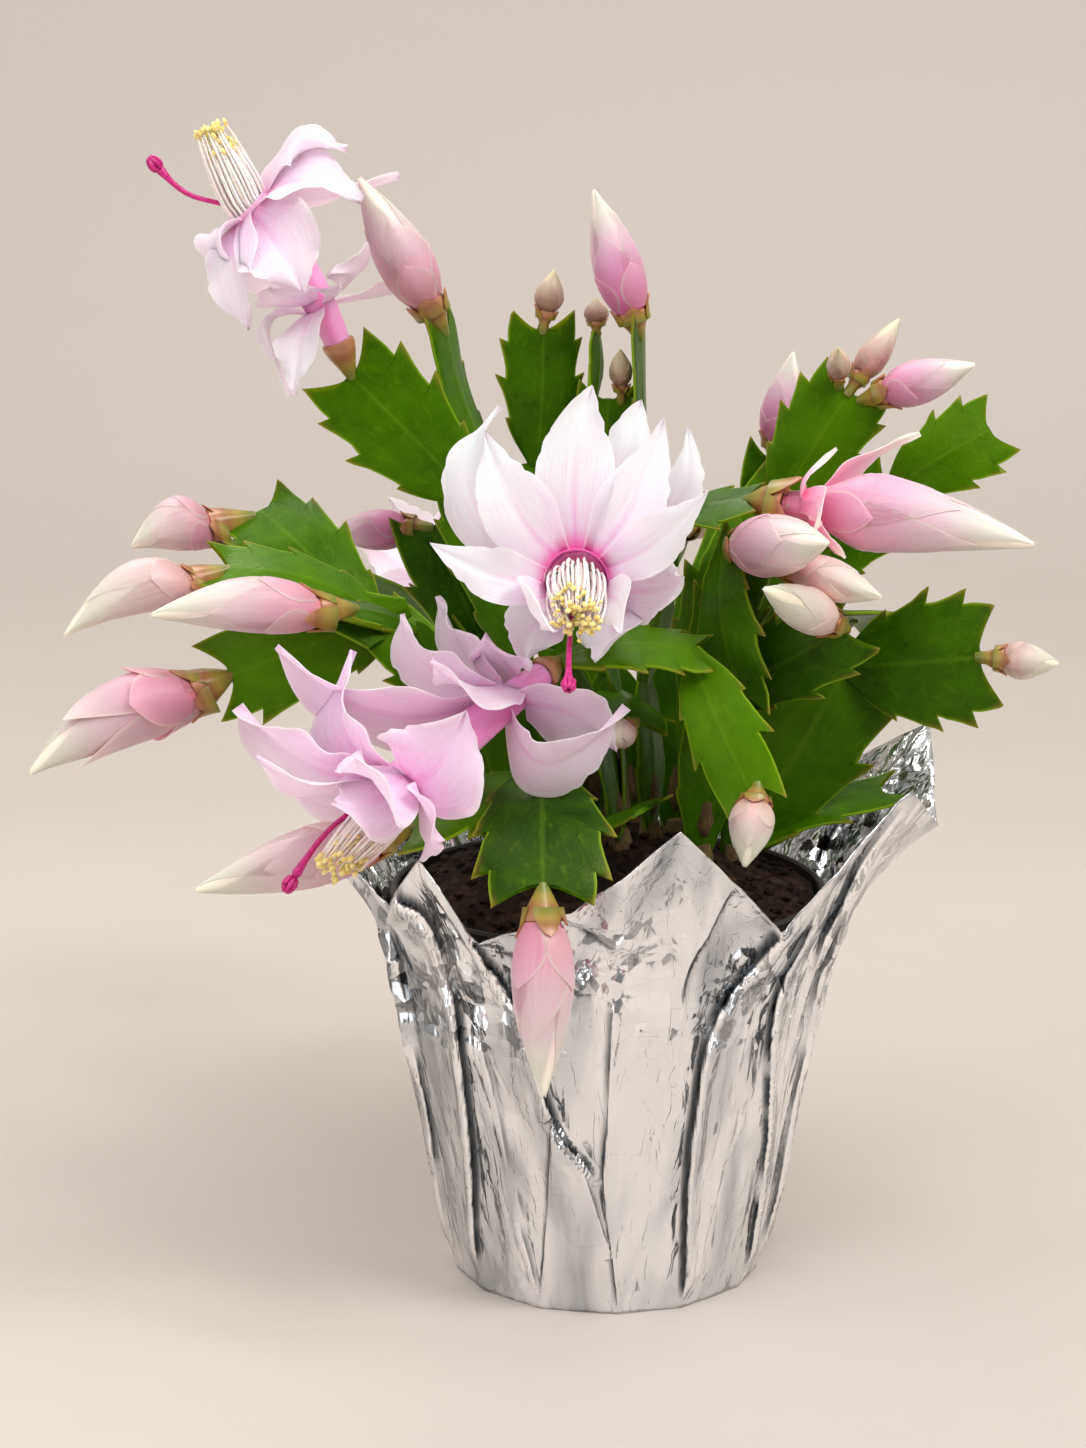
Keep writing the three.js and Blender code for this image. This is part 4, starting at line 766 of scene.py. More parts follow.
stems = [
  dict(name="stem_top_left", root=[-12, 12], pads=[
    dict(id="foot", to=[-22, 12, 162], wide=15, face=[-0.3, -1, 0], outline="plain"),
    dict(id="middle", on="foot", to=[-36, 14, 205], wide=25, face=[-0.4, -1, 0.1]),
    dict(id="tip", on="middle", to=[-67, 10, 237], wide=32, face=[0.12, -1, 0.12], arch=0.05),
  ]),
  dict(name="stem_top", root=[-2, 21], pads=[
    dict(id="foot", to=[-14, 22, 163], wide=14, face=[0.5, -1, 0], outline="plain"),
    dict(id="left", on="foot", to=[-30, 26, 209], wide=17, face=[1, -0.5, 0.1],
      outline="plain", slide=-3),
    dict(id="leftTip", on="left", to=[-43, 21, 247], wide=19, face=[0.92, -0.36, 0], arch=-0.05,
      outline="simple"),
    dict(id="right", on="foot", to=[-19, 30, 212], wide=20, face=[0.1, -1, 0.1],
      outline="plain", slide=3),
    dict(id="rightTip", on="right", to=[-17, 26, 247], wide=24, face=[0.3, -1, 0.1], arch=0.04),
  ]),
  dict(name="stem_top_mid", root=[8, 15], pads=[
    dict(id="foot", to=[1, 24, 157], wide=14, face=[0, -1, 0], outline="plain"),
    dict(id="middle", on="foot", to=[2, 28, 196], wide=18, face=[0.2, -1, 0], outline="plain"),
    dict(id="front", on="middle", to=[0, 24, 229], wide=21, face=[0, -1, 0.1],
      outline="simple", slide=-3),
    dict(id="narrow", on="front", to=[-3, 32, 245], wide=9, face=[1, -0.5, 0], outline="plain",
      slide=-4),
    dict(id="tall", on="middle", to=[8, 20, 246], wide=18, face=[1, -0.25, 0], arch=0.03,
      outline="simple", slide=4),
  ]),
  dict(name="stem_right_upper", root=[18, 13], pads=[
    dict(id="foot", to=[18, 22, 160], wide=15, face=[0.3, -1, 0], outline="plain"),
    dict(id="middle", on="foot", to=[46, 26, 202], wide=24, face=[-0.1, -1, 0.2], outline="simple"),
    dict(id="tip", on="middle", to=[63, 22, 231], wide=28, face=[-0.12, -1, 0.15], arch=0.05),
  ]),
  dict(name="stem_right_far", root=[25, 24], pads=[
    dict(id="foot", to=[28, 38, 145], wide=14, face=[0.6, -1, 0], outline="plain"),
    dict(id="middle", on="foot", to=[53, 41, 178], wide=20, face=[0, -1, 0.3],
      outline="plain", slide=3),
    dict(id="outer", on="middle", to=[77, 44, 202], wide=25, face=[0.1, -1, 0.4], outline="simple"),
    dict(id="outerTip", on="outer", to=[103, 43, 218], wide=25, face=[0, -1, 0.45], arch=0.06),
    dict(id="inner", on="foot", to=[40, 50, 177], wide=17, face=[0.1, -1, 0], outline="plain",
      slide=-4),
    dict(id="innerTip", on="inner", to=[45, 49, 210], wide=20, face=[0.3, -1, 0.1], outline="simple"),
  ]),
  dict(name="stem_middle", root=[11, -1], pads=[
    dict(id="foot", to=[9, -2, 160], wide=12, face=[1, -0.6, 0], outline="plain"),
    dict(id="middle", on="foot", to=[15, -8, 203], wide=14, face=[1, -0.9, 0], outline="plain"),
    dict(id="tip", on="middle", to=[35, -15, 208], wide=20, face=[-0.2, -0.35, 1], outline="simple"),
  ]),
  dict(name="stem_right_mid", root=[24, -9], pads=[
    dict(id="foot", to=[25, -13, 157], wide=14, face=[0.5, -1, 0], outline="plain"),
    dict(id="upper", on="foot", to=[34, -18, 196], wide=20, face=[-0.3, -1, 0.1], slide=-2,
      outline="simple"),
    dict(id="hanging", on="upper", to=[33, -34, 160], wide=22, face=[-0.7, -0.7, 0.2], arch=0.1,
      slide=-5),
    dict(id="inner", on="foot", to=[39, 5, 196], wide=28, face=[-0.1, -1, 0.2], slide=-5,
      outline="simple"),
    dict(id="outer", on="foot", to=[59, -29, 178], wide=25, face=[-0.2, -1, 0.15], arch=0.08, slide=4),
  ]),
  dict(name="stem_right_low", root=[33, 2], pads=[
    dict(id="broad", to=[62, 0, 163], wide=38, face=[0.05, -1, 0.05], arch=0.05),
    dict(id="broadTip", on="broad", to=[95, -12, 167], wide=38, face=[0.05, -1, 0.12], arch=0.04),
    dict(id="long", to=[73, 8, 127], wide=20, face=[-0.2, -0.3, 1], arch=0.08, outline="simple"),
  ]),
  dict(name="stem_front", root=[-9, -18], pads=[
    dict(id="shoulder", to=[-16, -44, 145], wide=20, face=[0.1, -0.4, 1], outline="plain"),
    # painted shade: this pad's tone is set low, so its green is painted darker than the other pads'
    dict(id="hanging", tone=0.02, on="shoulder", to=[-17, -79, 124], wide=35, face=[0, -0.5, 0.85],
      arch=0.1, slide=2),
    dict(id="left", on="shoulder", to=[-50, -56, 133], wide=25, face=[0, -0.3, 1], arch=0.06, slide=-5,
      outline="simple"),
    dict(id="right", to=[8, -42, 134], wide=20, face=[0.2, -0.5, 0.8], arch=0.08, outline="simple"),
  ]),
  dict(name="stem_centre", root=[3, -10], pads=[
    dict(id="foot", to=[-3, -24, 151], wide=12, face=[1, -0.3, 0], outline="plain"),
    dict(id="low", on="foot", to=[-13, -35, 171], wide=14, face=[0.6, -0.5, 0.5], outline="plain"),
    dict(id="upright", to=[2, -10, 158], wide=12, face=[1, 0, 0], outline="plain"),
    dict(id="high", on="upright", to=[-5, -12, 182], wide=15, face=[1, -0.2, 0], outline="plain"),
    dict(id="lying", on="low", to=[21, -37, 173], wide=24, face=[0.1, -0.35, 1], arch=0.1),
    dict(id="hanging", on="lying", to=[34, -55, 142], wide=21, face=[-0.45, -0.8, 0.5], arch=0.08,
      outline="simple"),
    dict(id="short", on="upright", to=[6, -32, 154], wide=23, face=[0.3, -0.2, 1], outline="simple"),
  ]),
  dict(name="stem_left", root=[-23, -3], pads=[
    dict(id="foot", to=[-35, -7, 152], wide=15, face=[-0.3, -1, 0.2], outline="plain"),
    dict(id="middle", on="foot", to=[-57, -8, 175], wide=21, face=[0.3, -1, 0.5], outline="simple"),
    dict(id="upper", on="middle", to=[-91, 13, 201], wide=31, face=[0.2, -0.7, 0.75], arch=0.08,
      slide=-6),
    dict(id="centre", on="middle", to=[-98, -14, 190], wide=27, face=[0.1, -0.45, 0.9], arch=0.12),
    dict(id="lower", on="middle", to=[-98, -8, 161], wide=31, face=[0, -1, 0.15], arch=0.06, slide=6),
    dict(id="front", on="foot", to=[-50, -25, 177], wide=15, face=[0.5, -0.6, 0.5], outline="plain",
      slide=-3),
    dict(id="frontTip", on="front", to=[-64, -36, 184], wide=14, face=[0.3, -0.3, 1], outline="simple"),
  ]),
  dict(name="stem_back_left", root=[-20, 22], pads=[
    dict(id="foot", to=[-33, 33, 152], wide=15, face=[0.5, -1, 0.2], outline="plain"),
    dict(id="tall", on="foot", to=[-48, 43, 192], wide=25, face=[0.4, -1, 0.2], slide=3,
      outline="simple"),
    dict(id="outer", on="foot", to=[-64, 52, 172], wide=27, face=[0.4, 0.7, 0.7], arch=0.06, slide=3,
      outline="simple"),
    dict(id="outerTip", on="outer", to=[-94, 68, 164], wide=29, face=[0.1, 0.6, 0.8], arch=0.1),
  ]),
  dict(name="stem_back", root=[0, 34], pads=[
    dict(id="foot", to=[0, 54, 152], wide=17, face=[0, 0.6, 0.6], outline="plain"),
    dict(id="left", on="foot", to=[-22, 84, 182], wide=28, face=[0.1, 0.7, 0.7], arch=0.06,
      outline="simple", slide=5),
    dict(id="right", on="foot", to=[22, 84, 184], wide=28, face=[-0.1, 0.7, 0.7], arch=0.05,
      outline="simple", slide=-5),
    dict(id="low", on="foot", to=[4, 97, 158], wide=28, face=[0, 0.35, 1], arch=0.1, outline="simple"),
    dict(id="leftTip", on="left", to=[-38, 116, 168], wide=28, face=[0, 0.5, 1], arch=0.14,
      outline="simple"),
  ]),
  dict(name="stem_back_right", root=[19, 38], pads=[
    dict(id="foot", to=[36, 54, 146], wide=15, face=[-0.4, 0.5, 1], outline="plain"),
    dict(id="outer", on="foot", to=[66, 68, 163], wide=29, face=[-0.2, 0.6, 0.8], arch=0.08,
      outline="simple", slide=-4),
    dict(id="outerTip", on="outer", to=[92, 84, 148], wide=29, face=[0.2, 0.5, 1], arch=0.1),
    dict(id="rear", on="foot", to=[52, 92, 168], wide=27, face=[0.2, 0.5, 1], arch=0.08,
      outline="simple", slide=4),
  ]),
]

# Each bud grows from a pad's tip in a green cup and ends at to. slide moves its foot sideways
# along the pad's end, and rise bows the bud upwards in the middle.
buds = [
  dict(name="bud_top_left", tone=0.55,
    on=["stem_top", "leftTip"], to=[-64, 16, 286], wide=14.5, cup=9),
  dict(name="bud_top", tone=0.95,
    on=["stem_top_mid", "tall"], to=[-4, 18, 283], wide=13, cup=7),
  dict(name="bud_crown_left", tone=0.3, green=0.75,
    on=["stem_top", "rightTip"], to=[-14, 25, 262], wide=7.5, cup=5),
  dict(name="bud_crown_mid", tone=0.5, green=0.8,
    on=["stem_top_mid", "narrow"], to=[-3, 32, 254], wide=6.5, cup=3),
  dict(name="bud_crown_low", tone=0.1, green=0.85,
    on=["stem_top_mid", "front"], to=[3, 19, 242], wide=6, cup=4.5,
    slide=3.5),
  dict(name="bud_right_upper_small", tone=0.4, green=0.8,
    on=["stem_right_upper", "tip"], to=[59, 14, 243], wide=6,
    cup=4, slide=-3),
  dict(name="bud_right_upper_mid", tone=0.4, green=0.6,
    on=["stem_right_upper", "tip"], to=[76, 27, 249], wide=8,
    cup=5.5, slide=0),
  dict(name="bud_right_upper", tone=0.9,
    on=["stem_right_upper", "tip"], to=[94, 11, 239], wide=11.5,
    cup=7, slide=4),
  dict(name="bud_right_far", tone=1.0,
    on=["stem_right_far", "innerTip"], to=[50, 48, 238], wide=11, cup=4),
  dict(name="bud_opening", tone=0.85,
    on=["stem_middle", "tip"], to=[104, -37, 200], wide=19.5, cup=9, rise=2,
    waist=0.5, petals=[
      [0.1, [48, -22, 214], [56, -23, 222], 7],
      [0.12, [62, -14, 217], [78, -10, 224], 8],
      [0.04, [51, -30, 209], [49, -37, 202], 9],
      [0.08, [53, -28, 200], [58, -31, 196], 7],
    ]),
  dict(name="bud_right_near", tone=0.7,
    on=["stem_right_mid", "upper"], to=[51, -62, 205], wide=15.5, cup=6,
    slide=-3),
  dict(name="bud_right_under", tone=0.2,
    on=["stem_right_mid", "upper"], to=[66, -42, 188], wide=11,
    cup=12, slide=4),
  dict(name="bud_right_cream", tone=0.05,
    on=["stem_right_mid", "outer"], to=[36, -57, 193], wide=11, cup=8),
  dict(name="bud_right_side", tone=0.1, green=0.1,
    on=["stem_right_low", "broadTip"], to=[114, -16, 166], wide=9.5, cup=6),
  dict(name="bud_hanging_small", tone=0.1,
    on=["stem_centre", "hanging"], to=[32, -62, 125], wide=11, cup=3.5,
    slide=-2),
  dict(name="bud_centre_small", tone=0.3, green=0.4,
    on=["stem_centre", "short"], to=[-1, -41, 151], wide=7.5, cup=3),
  # painted light: this bud's tone is set lower, so it is painted paler to make up for the shade it sits
  # in
  dict(name="bud_left_upper", tone=0.6,
    on=["stem_left", "upper"], to=[-123, 2, 193], wide=14.5, cup=11, rise=3,
    slide=-3),
  dict(name="bud_left_middle", tone=0.3,
    on=["stem_left", "centre"], to=[-137, -26, 175], wide=14, cup=9,
    rise=5),
  dict(name="bud_left_front", tone=0.5,
    on=["stem_left", "frontTip"], to=[-112, -55, 186], wide=14, cup=9.5,
    rise=2),
  dict(name="bud_left_lower", loose=2.2, tone=0.6,
    on=["stem_left", "lower"], to=[-148, -20, 138], wide=18, cup=10, rise=4),
  dict(name="bud_back_left", tone=0.9,
    on=["stem_back_left", "tall"], to=[-76, 49, 189], wide=11, cup=6),
  dict(name="bud_front_left", tone=0.45,
    on=["stem_front", "left"], to=[-101, -73, 122], wide=15, cup=9),
  # painted light: this bud's tone is set lower, so it is painted paler to make up for the shade it sits
  # in
  dict(name="bud_front", tone=0.62,
    on=["stem_front", "hanging"], to=[-17, -91, 76], wide=15, cup=8),
  dict(name="bud_behind_left", tone=0.5,
    on=["stem_back_left", "outerTip"], to=[-108, 88, 150], wide=12, cup=6),
  dict(name="bud_behind", tone=0.7,
    on=["stem_back", "right"], to=[34, 116, 188], wide=13, cup=9),
  dict(name="bud_behind_low", tone=0.4,
    on=["stem_back", "low"], to=[6, 132, 142], wide=13.5, cup=10, rise=3),
  dict(name="bud_behind_right", tone=0.6,
    on=["stem_back_right", "outerTip"], to=[103, 112, 132], wide=12.5,
    cup=9, rise=2),
]

# Each flower grows from a pad's tip in a green cup. Its tube runs from the cup past bend to the
# mouth. A petal is [share, via, tip, width]: it leaves the tube at that share of its length and
# passes through via to its tip.
flowers = [
  dict(name="flower_centre", tone=0.0, throat=1.0, tube=1.0, width=0.9,
    on=["stem_centre", "high"], bend=[-8, -34, 190], mouth=[-9, -53, 194], cup=6,
    tubeRadius=8, styleTo=[-11, -82, 173], styleBow=[-0.2, -0.3, -1], anthersTo=[-9, -70, 188],
    petals=[
      [0.95, [-9, -50, 223], [-5, -44, 240], 21],
      [0.95, [5, -54, 214], [12, -49, 233], 19],
      [0.95, [10, -60, 205], [22, -66, 218], 15],
      [0.95, [1, -66, 191], [1, -77, 186], 14],
      [0.95, [-20, -68, 191], [-14, -80, 187], 15],
      [0.95, [-29, -60, 197], [-44, -62, 205], 15],
      [0.95, [-24, -54, 213], [-31, -49, 230], 20],
      [0.4, [-34, -40, 212], [-28, -33, 234], 18],
      [0.4, [2, -38, 219], [7, -27, 234], 18],
      [0.4, [15, -44, 211], [18, -37, 229], 14],
      [0.4, [11, -48, 191], [16, -57, 196], 19],
      [0.4, [0, -45, 180], [-5, -54, 175], 19],
      [0.4, [-20, -43, 180], [-21, -50, 173], 17],
    ]),
  dict(name="flower_top_left", tone=0.3, throat=0.5, width=1.08, spread=4.4,
    on=["stem_top_left", "tip"], bend=[-77, 7.5, 264], mouth=[-92, 4, 280], cup=9,
    tubeRadius=6.5, styleTo=[-116, 2, 292], styleBow=[-0.5, 0, -1], anthersTo=[-100, 4, 298],
    petals=[
      [0.96, [-79, 8, 293], [-66, 2, 295], 23],
      [0.96, [-76, -4, 287], [-62, -8, 282], 23],
      [0.96, [-73, 21, 281], [-54, 27, 286], 15],
      [0.96, [-99, -3, 271], [-97, 2, 258], 15],
      [0.96, [-94, -10, 266], [-91, -12, 250], 20],
      [0.96, [-82, -15, 271], [-76, -19, 260], 22],
      [0.96, [-90, 18, 266], [-84, 27, 255], 20],
      [0.22, [-87, 6, 249], [-81, 2, 232], 15],
      [0.24, [-78, -8, 246], [-79, -13, 234], 13],
      [0.26, [-65, -2, 263], [-70, -13, 264], 17],
      [0.3, [-82, -4, 257], [-85, -12, 261], 15],
      [0.22, [-62, 25, 255], [-54, 34, 256], 14],
    ]),
  dict(name="flower_left", tone=0.55, throat=0.4, width=1.2, spread=5,
    on=["stem_centre", "low"], bend=[-34, -58, 159], mouth=[-52, -75, 147], cup=7,
    tubeRadius=6.5, styleTo=[-79, -86, 124], styleBow=[-1, -0.1, 0.5], anthersTo=[-66, -84, 131],
    petals=[
      [0.96, [-58, -90, 148], [-66, -97, 150], 16],
      [0.96, [-56, -91, 153], [-60, -96, 162], 19],
      [0.96, [-44, -85, 142], [-41, -92, 139], 19],
      [0.96, [-42, -84, 156], [-35, -84, 169], 24],
      [0.96, [-73, -70, 152], [-90, -66, 166], 22],
      [0.96, [-70, -84, 151], [-84, -90, 159], 14],
      [0.96, [-65, -70, 162], [-63, -62, 179], 22],
      [0.3, [-56, -60, 163], [-81, -66, 180], 20],
      [0.25, [-45, -45, 171], [-52, -43, 184], 19],
      [0.2, [-36, -36, 172], [-44, -25, 185], 18],
      [0.12, [-27, -45, 173], [-31, -52, 180], 17],
      [0.2, [-34, -60, 169], [-44, -67, 177], 17],
      [0.3, [-15, -63, 151], [3, -62, 165], 17],
      [0.2, [-9, -52, 160], [1, -50, 151], 20],
    ]),
  dict(name="flower_behind", tone=0.35, throat=0.8,
    on=["stem_back", "leftTip"], bend=[-44, 134, 158], mouth=[-45, 150, 148], cup=8,
    tubeRadius=6.5, styleTo=[-46, 178, 130], styleBow=[0, -0.2, -1], anthersTo=[-45, 168, 140],
    petals=[
      [0.96, [-45, 160, 167], [-43, 154, 183], 19],
      [0.96, [-30, 162, 160], [-16, 158, 170], 18],
      [0.96, [-27, 160, 148], [-10, 158, 143], 17],
      [0.96, [-37, 160, 135], [-30, 160, 120], 18],
      [0.96, [-54, 160, 134], [-62, 160, 121], 18],
      [0.96, [-63, 160, 148], [-80, 158, 143], 17],
      [0.96, [-60, 162, 160], [-74, 158, 170], 18],
      [0.3, [-36, 130, 174], [-28, 118, 187], 16],
      [0.3, [-54, 132, 174], [-62, 121, 187], 16],
      [0.3, [-27, 134, 156], [-12, 124, 158], 16],
      [0.3, [-62, 134, 156], [-77, 125, 158], 16],
    ]),
]


# buds: a spindle wrapped in three tiers of pointed petals. start and end are shares of the bud's
# length, angle is half of what a petal wraps, off is how far it stands off and lift how far its tip
# does. A bud that is wider than fineFrom has more petals, and they are finer.

budLook = dict(
    waist=0.93, fineFrom=9,
    profile=[(0, 0.6), (0.15, 0.9), (0.34, 1.0), (0.5, 0.91), (0.66, 0.7), (0.8, 0.46), (0.92, 0.22),
             (1, 0.06)],
    outer=dict(count=3, start=0.0, end=0.4, angle=56, off=0.3, lift=0.12),
    middle=dict(count=3, start=0.0, end=0.8, angle=66, off=0.17, lift=0.1),
    inner=dict(count=3, start=0.2, end=1.0, angle=70, off=0.05, lift=0.0),
    half=0.14,
)
petalShape = [(0, 0.75), (0.3, 1.0), (0.55, 0.92), (0.78, 0.58), (0.92, 0.24), (1, 0.01)]


def budRadius(bud, share):
    pinch = bud.get("waist", budLook["waist"]) / budLook["waist"]
    profile = [(at, value * (pinch if at < 0.3 else 1)) for at, value in budLook["profile"]]
    return bud["wide"] / 2 * through(profile, share)[0]


def budFoot(bud):
    return tipOf(bud["on"], bud.get("slide", 0))


def budLine(bud):  # the bud's middle line, its two directions across and its length
    foot = budFoot(bud)
    end = Vector(bud["to"])
    ahead = (end - foot).normalized()
    start = foot + ahead * (bud["cup"] + 0.3)
    length = (end - start).length
    rise = bud.get("rise", 0)
    side, top = sideAndTop(ahead)

    def centre(share):
        return start + ahead * (share * length) + Vector((0, 0, rise * 4 * share * (1 - share)))

    return centre, side, top, length


# leafy stems
# a pad's outline on one side, from foot to tip: share of half its width out, share of its length
# up, and how far up its rib that row starts. The points that stick out are its teeth.

padLook = dict(
    edge=0.8, middle=2.4, columns=14, sunk=12, footWider=1.28, wave=0.028,
    toothed=[
        (0.16, -0.03, -0.03), (0.30, 0.05, 0.03), (0.50, 0.15, 0.11), (0.66, 0.25, 0.20),
        (0.77, 0.345, 0.27), (0.69, 0.345, 0.31), (0.75, 0.43, 0.38), (0.86, 0.54, 0.46),
        (1.01, 0.66, 0.53), (0.90, 0.64, 0.57), (0.78, 0.61, 0.59), (0.81, 0.70, 0.65),
        (0.87, 0.80, 0.73), (0.96, 0.92, 0.80), (0.84, 0.885, 0.84), (0.74, 0.85, 0.87),
        (0.75, 0.95, 0.91), (0.73, 1.04, 0.95), (0.69, 1.12, 0.965), (0.61, 1.04, 0.975),
        (0.52, 1.0, 0.98), (0.42, 0.975, 0.985),
    ],
    simple=[
        (0.18, -0.03, -0.03), (0.34, 0.06, 0.04), (0.56, 0.17, 0.13), (0.73, 0.27, 0.21),
        (0.89, 0.385, 0.29), (0.78, 0.385, 0.34), (0.84, 0.48, 0.42), (0.94, 0.595, 0.50),
        (1.08, 0.715, 0.57), (0.92, 0.685, 0.62), (0.79, 0.655, 0.65), (0.82, 0.76, 0.74),
        (0.82, 0.88, 0.84), (0.78, 1.01, 0.92), (0.73, 1.13, 0.96), (0.62, 1.03, 0.975),
        (0.52, 0.985, 0.98), (0.42, 0.965, 0.985),
    ],
    plain=[
        (0.30, -0.03, -0.03), (0.48, 0.07, 0.06), (0.68, 0.18, 0.16), (0.85, 0.30, 0.27),
        (0.96, 0.43, 0.39), (0.88, 0.45, 0.45), (0.90, 0.55, 0.54), (0.88, 0.70, 0.68),
        (0.76, 0.84, 0.82), (0.58, 0.93, 0.91), (0.40, 0.98, 0.98),
    ],
    tips=dict(toothed=(4, 8, 13, 18), simple=(4, 8, 14), plain=(4,)),
)

cupLook = dict(sides=20, ribs=5, ribDepth=0.06, reach=0.31, flowerRadius=4.2, scaleAngle=44)

woodSlot = 1  # a stem's materials are the pads' green, the wood and the cups' green, in this order
cupSlot = 2
padFrames = {}


def padFrame(start, pad):
    end = Vector(pad["to"])
    along = end - start
    length = along.length
    along.normalize()
    side = along.cross(Vector(pad["face"])).normalized()
    return dict(start=start, end=end, along=along, side=side, facing=side.cross(along), length=length)


def tipOf(on, slide=0):
    place = padFrames[tuple(on)]
    return place["end"] + place["side"] * slide - place["along"] * (0.02 * place["length"])


def finerOutline(kind):  # each step of the outline halved, its teeth kept
    knots = [(k, *row) for k, row in enumerate(padLook[kind])]
    tips = padLook["tips"][kind]
    rows = []
    for step in range(2 * len(knots) - 1):
        row = through(knots, step / 2)
        near = min(abs(step / 2 - tip) for tip in tips)
        rows.append((*row, max(0, 1 - near / 1.3)))
    return rows


def addPad(bm, place, pad, draw):
    kind = pad.get("outline", "toothed")
    rows = finerOutline(kind)
    half = pad["wide"] / 2 * (padLook["footWider"] if pad["id"] == "foot" else 1)
    arch = pad.get("arch", 0.03) * place["length"]
    start, ahead, length = place["start"], place["along"], place["length"]
    side, facing = place["side"], place["facing"]
    phases = [draw.uniform(0, 6.3) for _ in range(4)]
    stretch = {sign: [1 + draw.uniform(-0.04, 0.04) for _ in range(6)] for sign in (-1, 1)}
    wave = padLook["wave"] * pad["wide"]

    def put(across, along):
        out, up, rib, tooth = rows[round(along * (len(rows) - 1))]
        sign = 1 if across > 0 else -1
        reach = abs(across)
        outward = out * across * stretch[sign][int(along * 5.99)]
        upward = rib + (up - rib) * reach ** 1.5
        bow = arch * math.sin(math.pi * clamp(upward)) - 0.06 * half * outward * outward
        bow += wave * outward * outward * math.sin(phases[0 if sign > 0 else 1] + 7.5 * upward)
        bow += 0.3 * wave * math.sin(phases[2] + 4 * upward)
        crest = math.exp(-(outward / 0.09) ** 2)
        at = start + side * (outward * half) + ahead * (upward * length) + facing * bow
        thick = mix(padLook["middle"], 1.3, max(0, upward) ** 2)
        fullness = 0.55 * (1 - outward ** 2) + 0.45 * crest
        halfThick = mix(padLook["edge"], thick, fullness) / 2
        halfThick *= 1 - 0.45 * ease(0.9, 1, reach)
        accent = tooth * ease(0.92, 1.0, reach) * (0.6 if kind != "plain" else 0.2)
        return at, facing, max(0.22, halfThick), accent

    addSheet(bm, padLook["columns"], len(rows) - 1, put, tone=pad.get("tone", draw.uniform(0.1, 0.4)))


def addCup(bm, foot, towards, length, endRadius):  # the green cup that a bud or flower sits in
    ahead = (towards - foot).normalized()
    side, top = sideAndTop(ahead)
    knots = [(-1.3, 0), (-1.2, 1.1), (0, 1.5), (0.3 * length, 0.58 * endRadius),
             (0.6 * length, 0.84 * endRadius), (0.85 * length, 0.99 * endRadius),
             (length, endRadius), (length + 0.35, 0.9 * endRadius), (length - 0.4, 0.6 * endRadius),
             (length - 0.4, 0)]
    rings = [(foot + ahead * at, side, top, radius) for at, radius in knots]
    alongs = [clamp(at / length) for at, _ in knots]

    def ribbed(turn, share):
        return 1 + cupLook["ribDepth"] * math.cos(cupLook["ribs"] * turn)

    addTube(bm, rings, cupLook["sides"], slot=cupSlot, alongs=alongs, shape=ribbed)


def addCupScale(bm, bud, turn, high):  # a small pointed scale from the cup up over the bud
    centre, side, top, length = budLine(bud)
    low = -0.45 * bud["cup"] / length
    wide = math.radians(cupLook["scaleAngle"])
    least = cupLook["reach"] * bud["wide"]

    def put(across, along):
        share = mix(low, high, along)
        angle = turn + across * wide * (1 - along ** 1.6) ** 0.8
        radius = budRadius(bud, max(0, share)) * 0.98 + 0.35 if share > 0 else 0
        radius = max(radius, least * (1 + 0.2 * along)) + 0.1 + 0.25 * along ** 2
        outward = side * math.cos(angle) + top * math.sin(angle)
        return centre(share) + outward * radius, outward, 0.25, 0

    addSheet(bm, 6, 8, put, slot=cupSlot)


def makeStem(number, stem):
    draw = random.Random(seeds["stems"] + number)
    name = stem["name"]
    x, y = stem["root"]
    ground = soilHeight(x, y)
    bm = newMesh()
    sunk = -padLook["sunk"]
    trunk = [(0, sunk), (3, sunk), (3.1, -3), (3.2, 0), (2.9, 2), (2.4, 4), (0, 4.6)]
    profile = [(out, ground + up) for out, up in trunk]

    def knobbly(turn, share):
        return 1 + 0.08 * math.sin(3 * turn + 5 * share)

    addTurned(bm, profile, 16, at=(x, y), slot=woodSlot, shape=knobbly)
    for pad in stem["pads"]:
        rooted = "on" not in pad
        start = Vector((x, y, ground + 2)) if rooted else tipOf((name, pad["on"]), pad.get("slide", 0))
        place = padFrame(start, pad)
        padFrames[(name, pad["id"])] = place
        addPad(bm, place, pad, draw)
        if rooted:  # its woody rib runs most of the way up
            reach = place["length"] * 0.75

            def ribAt(share):
                return start + place["along"] * (reach * share)

            addTube(bm, ringsAlong(ribAt, [0, 0.25, 0.5, 0.8, 1], [0, 3, 2.2, 1.5, 0]), 12, slot=woodSlot)
    for bud in buds:
        if bud["on"][0] == name:
            addCup(bm, budFoot(bud), Vector(bud["to"]), bud["cup"], cupLook["reach"] * bud["wide"])
            count = 4 if bud["wide"] > budLook["fineFrom"] else 3
            for k in range(count):
                turn = 2 * math.pi * k / count + draw.uniform(-0.3, 0.3)
                addCupScale(bm, bud, turn, draw.uniform(0.02, 0.12))
    for flower in flowers:
        if flower["on"][0] == name:
            foot = tipOf(flower["on"])
            addCup(bm, foot, Vector(flower["bend"]), flower["cup"], cupLook["flowerRadius"])
    return finishPiece(bm, camelName(name), [padGreen, woodyStem, budCup], [name])


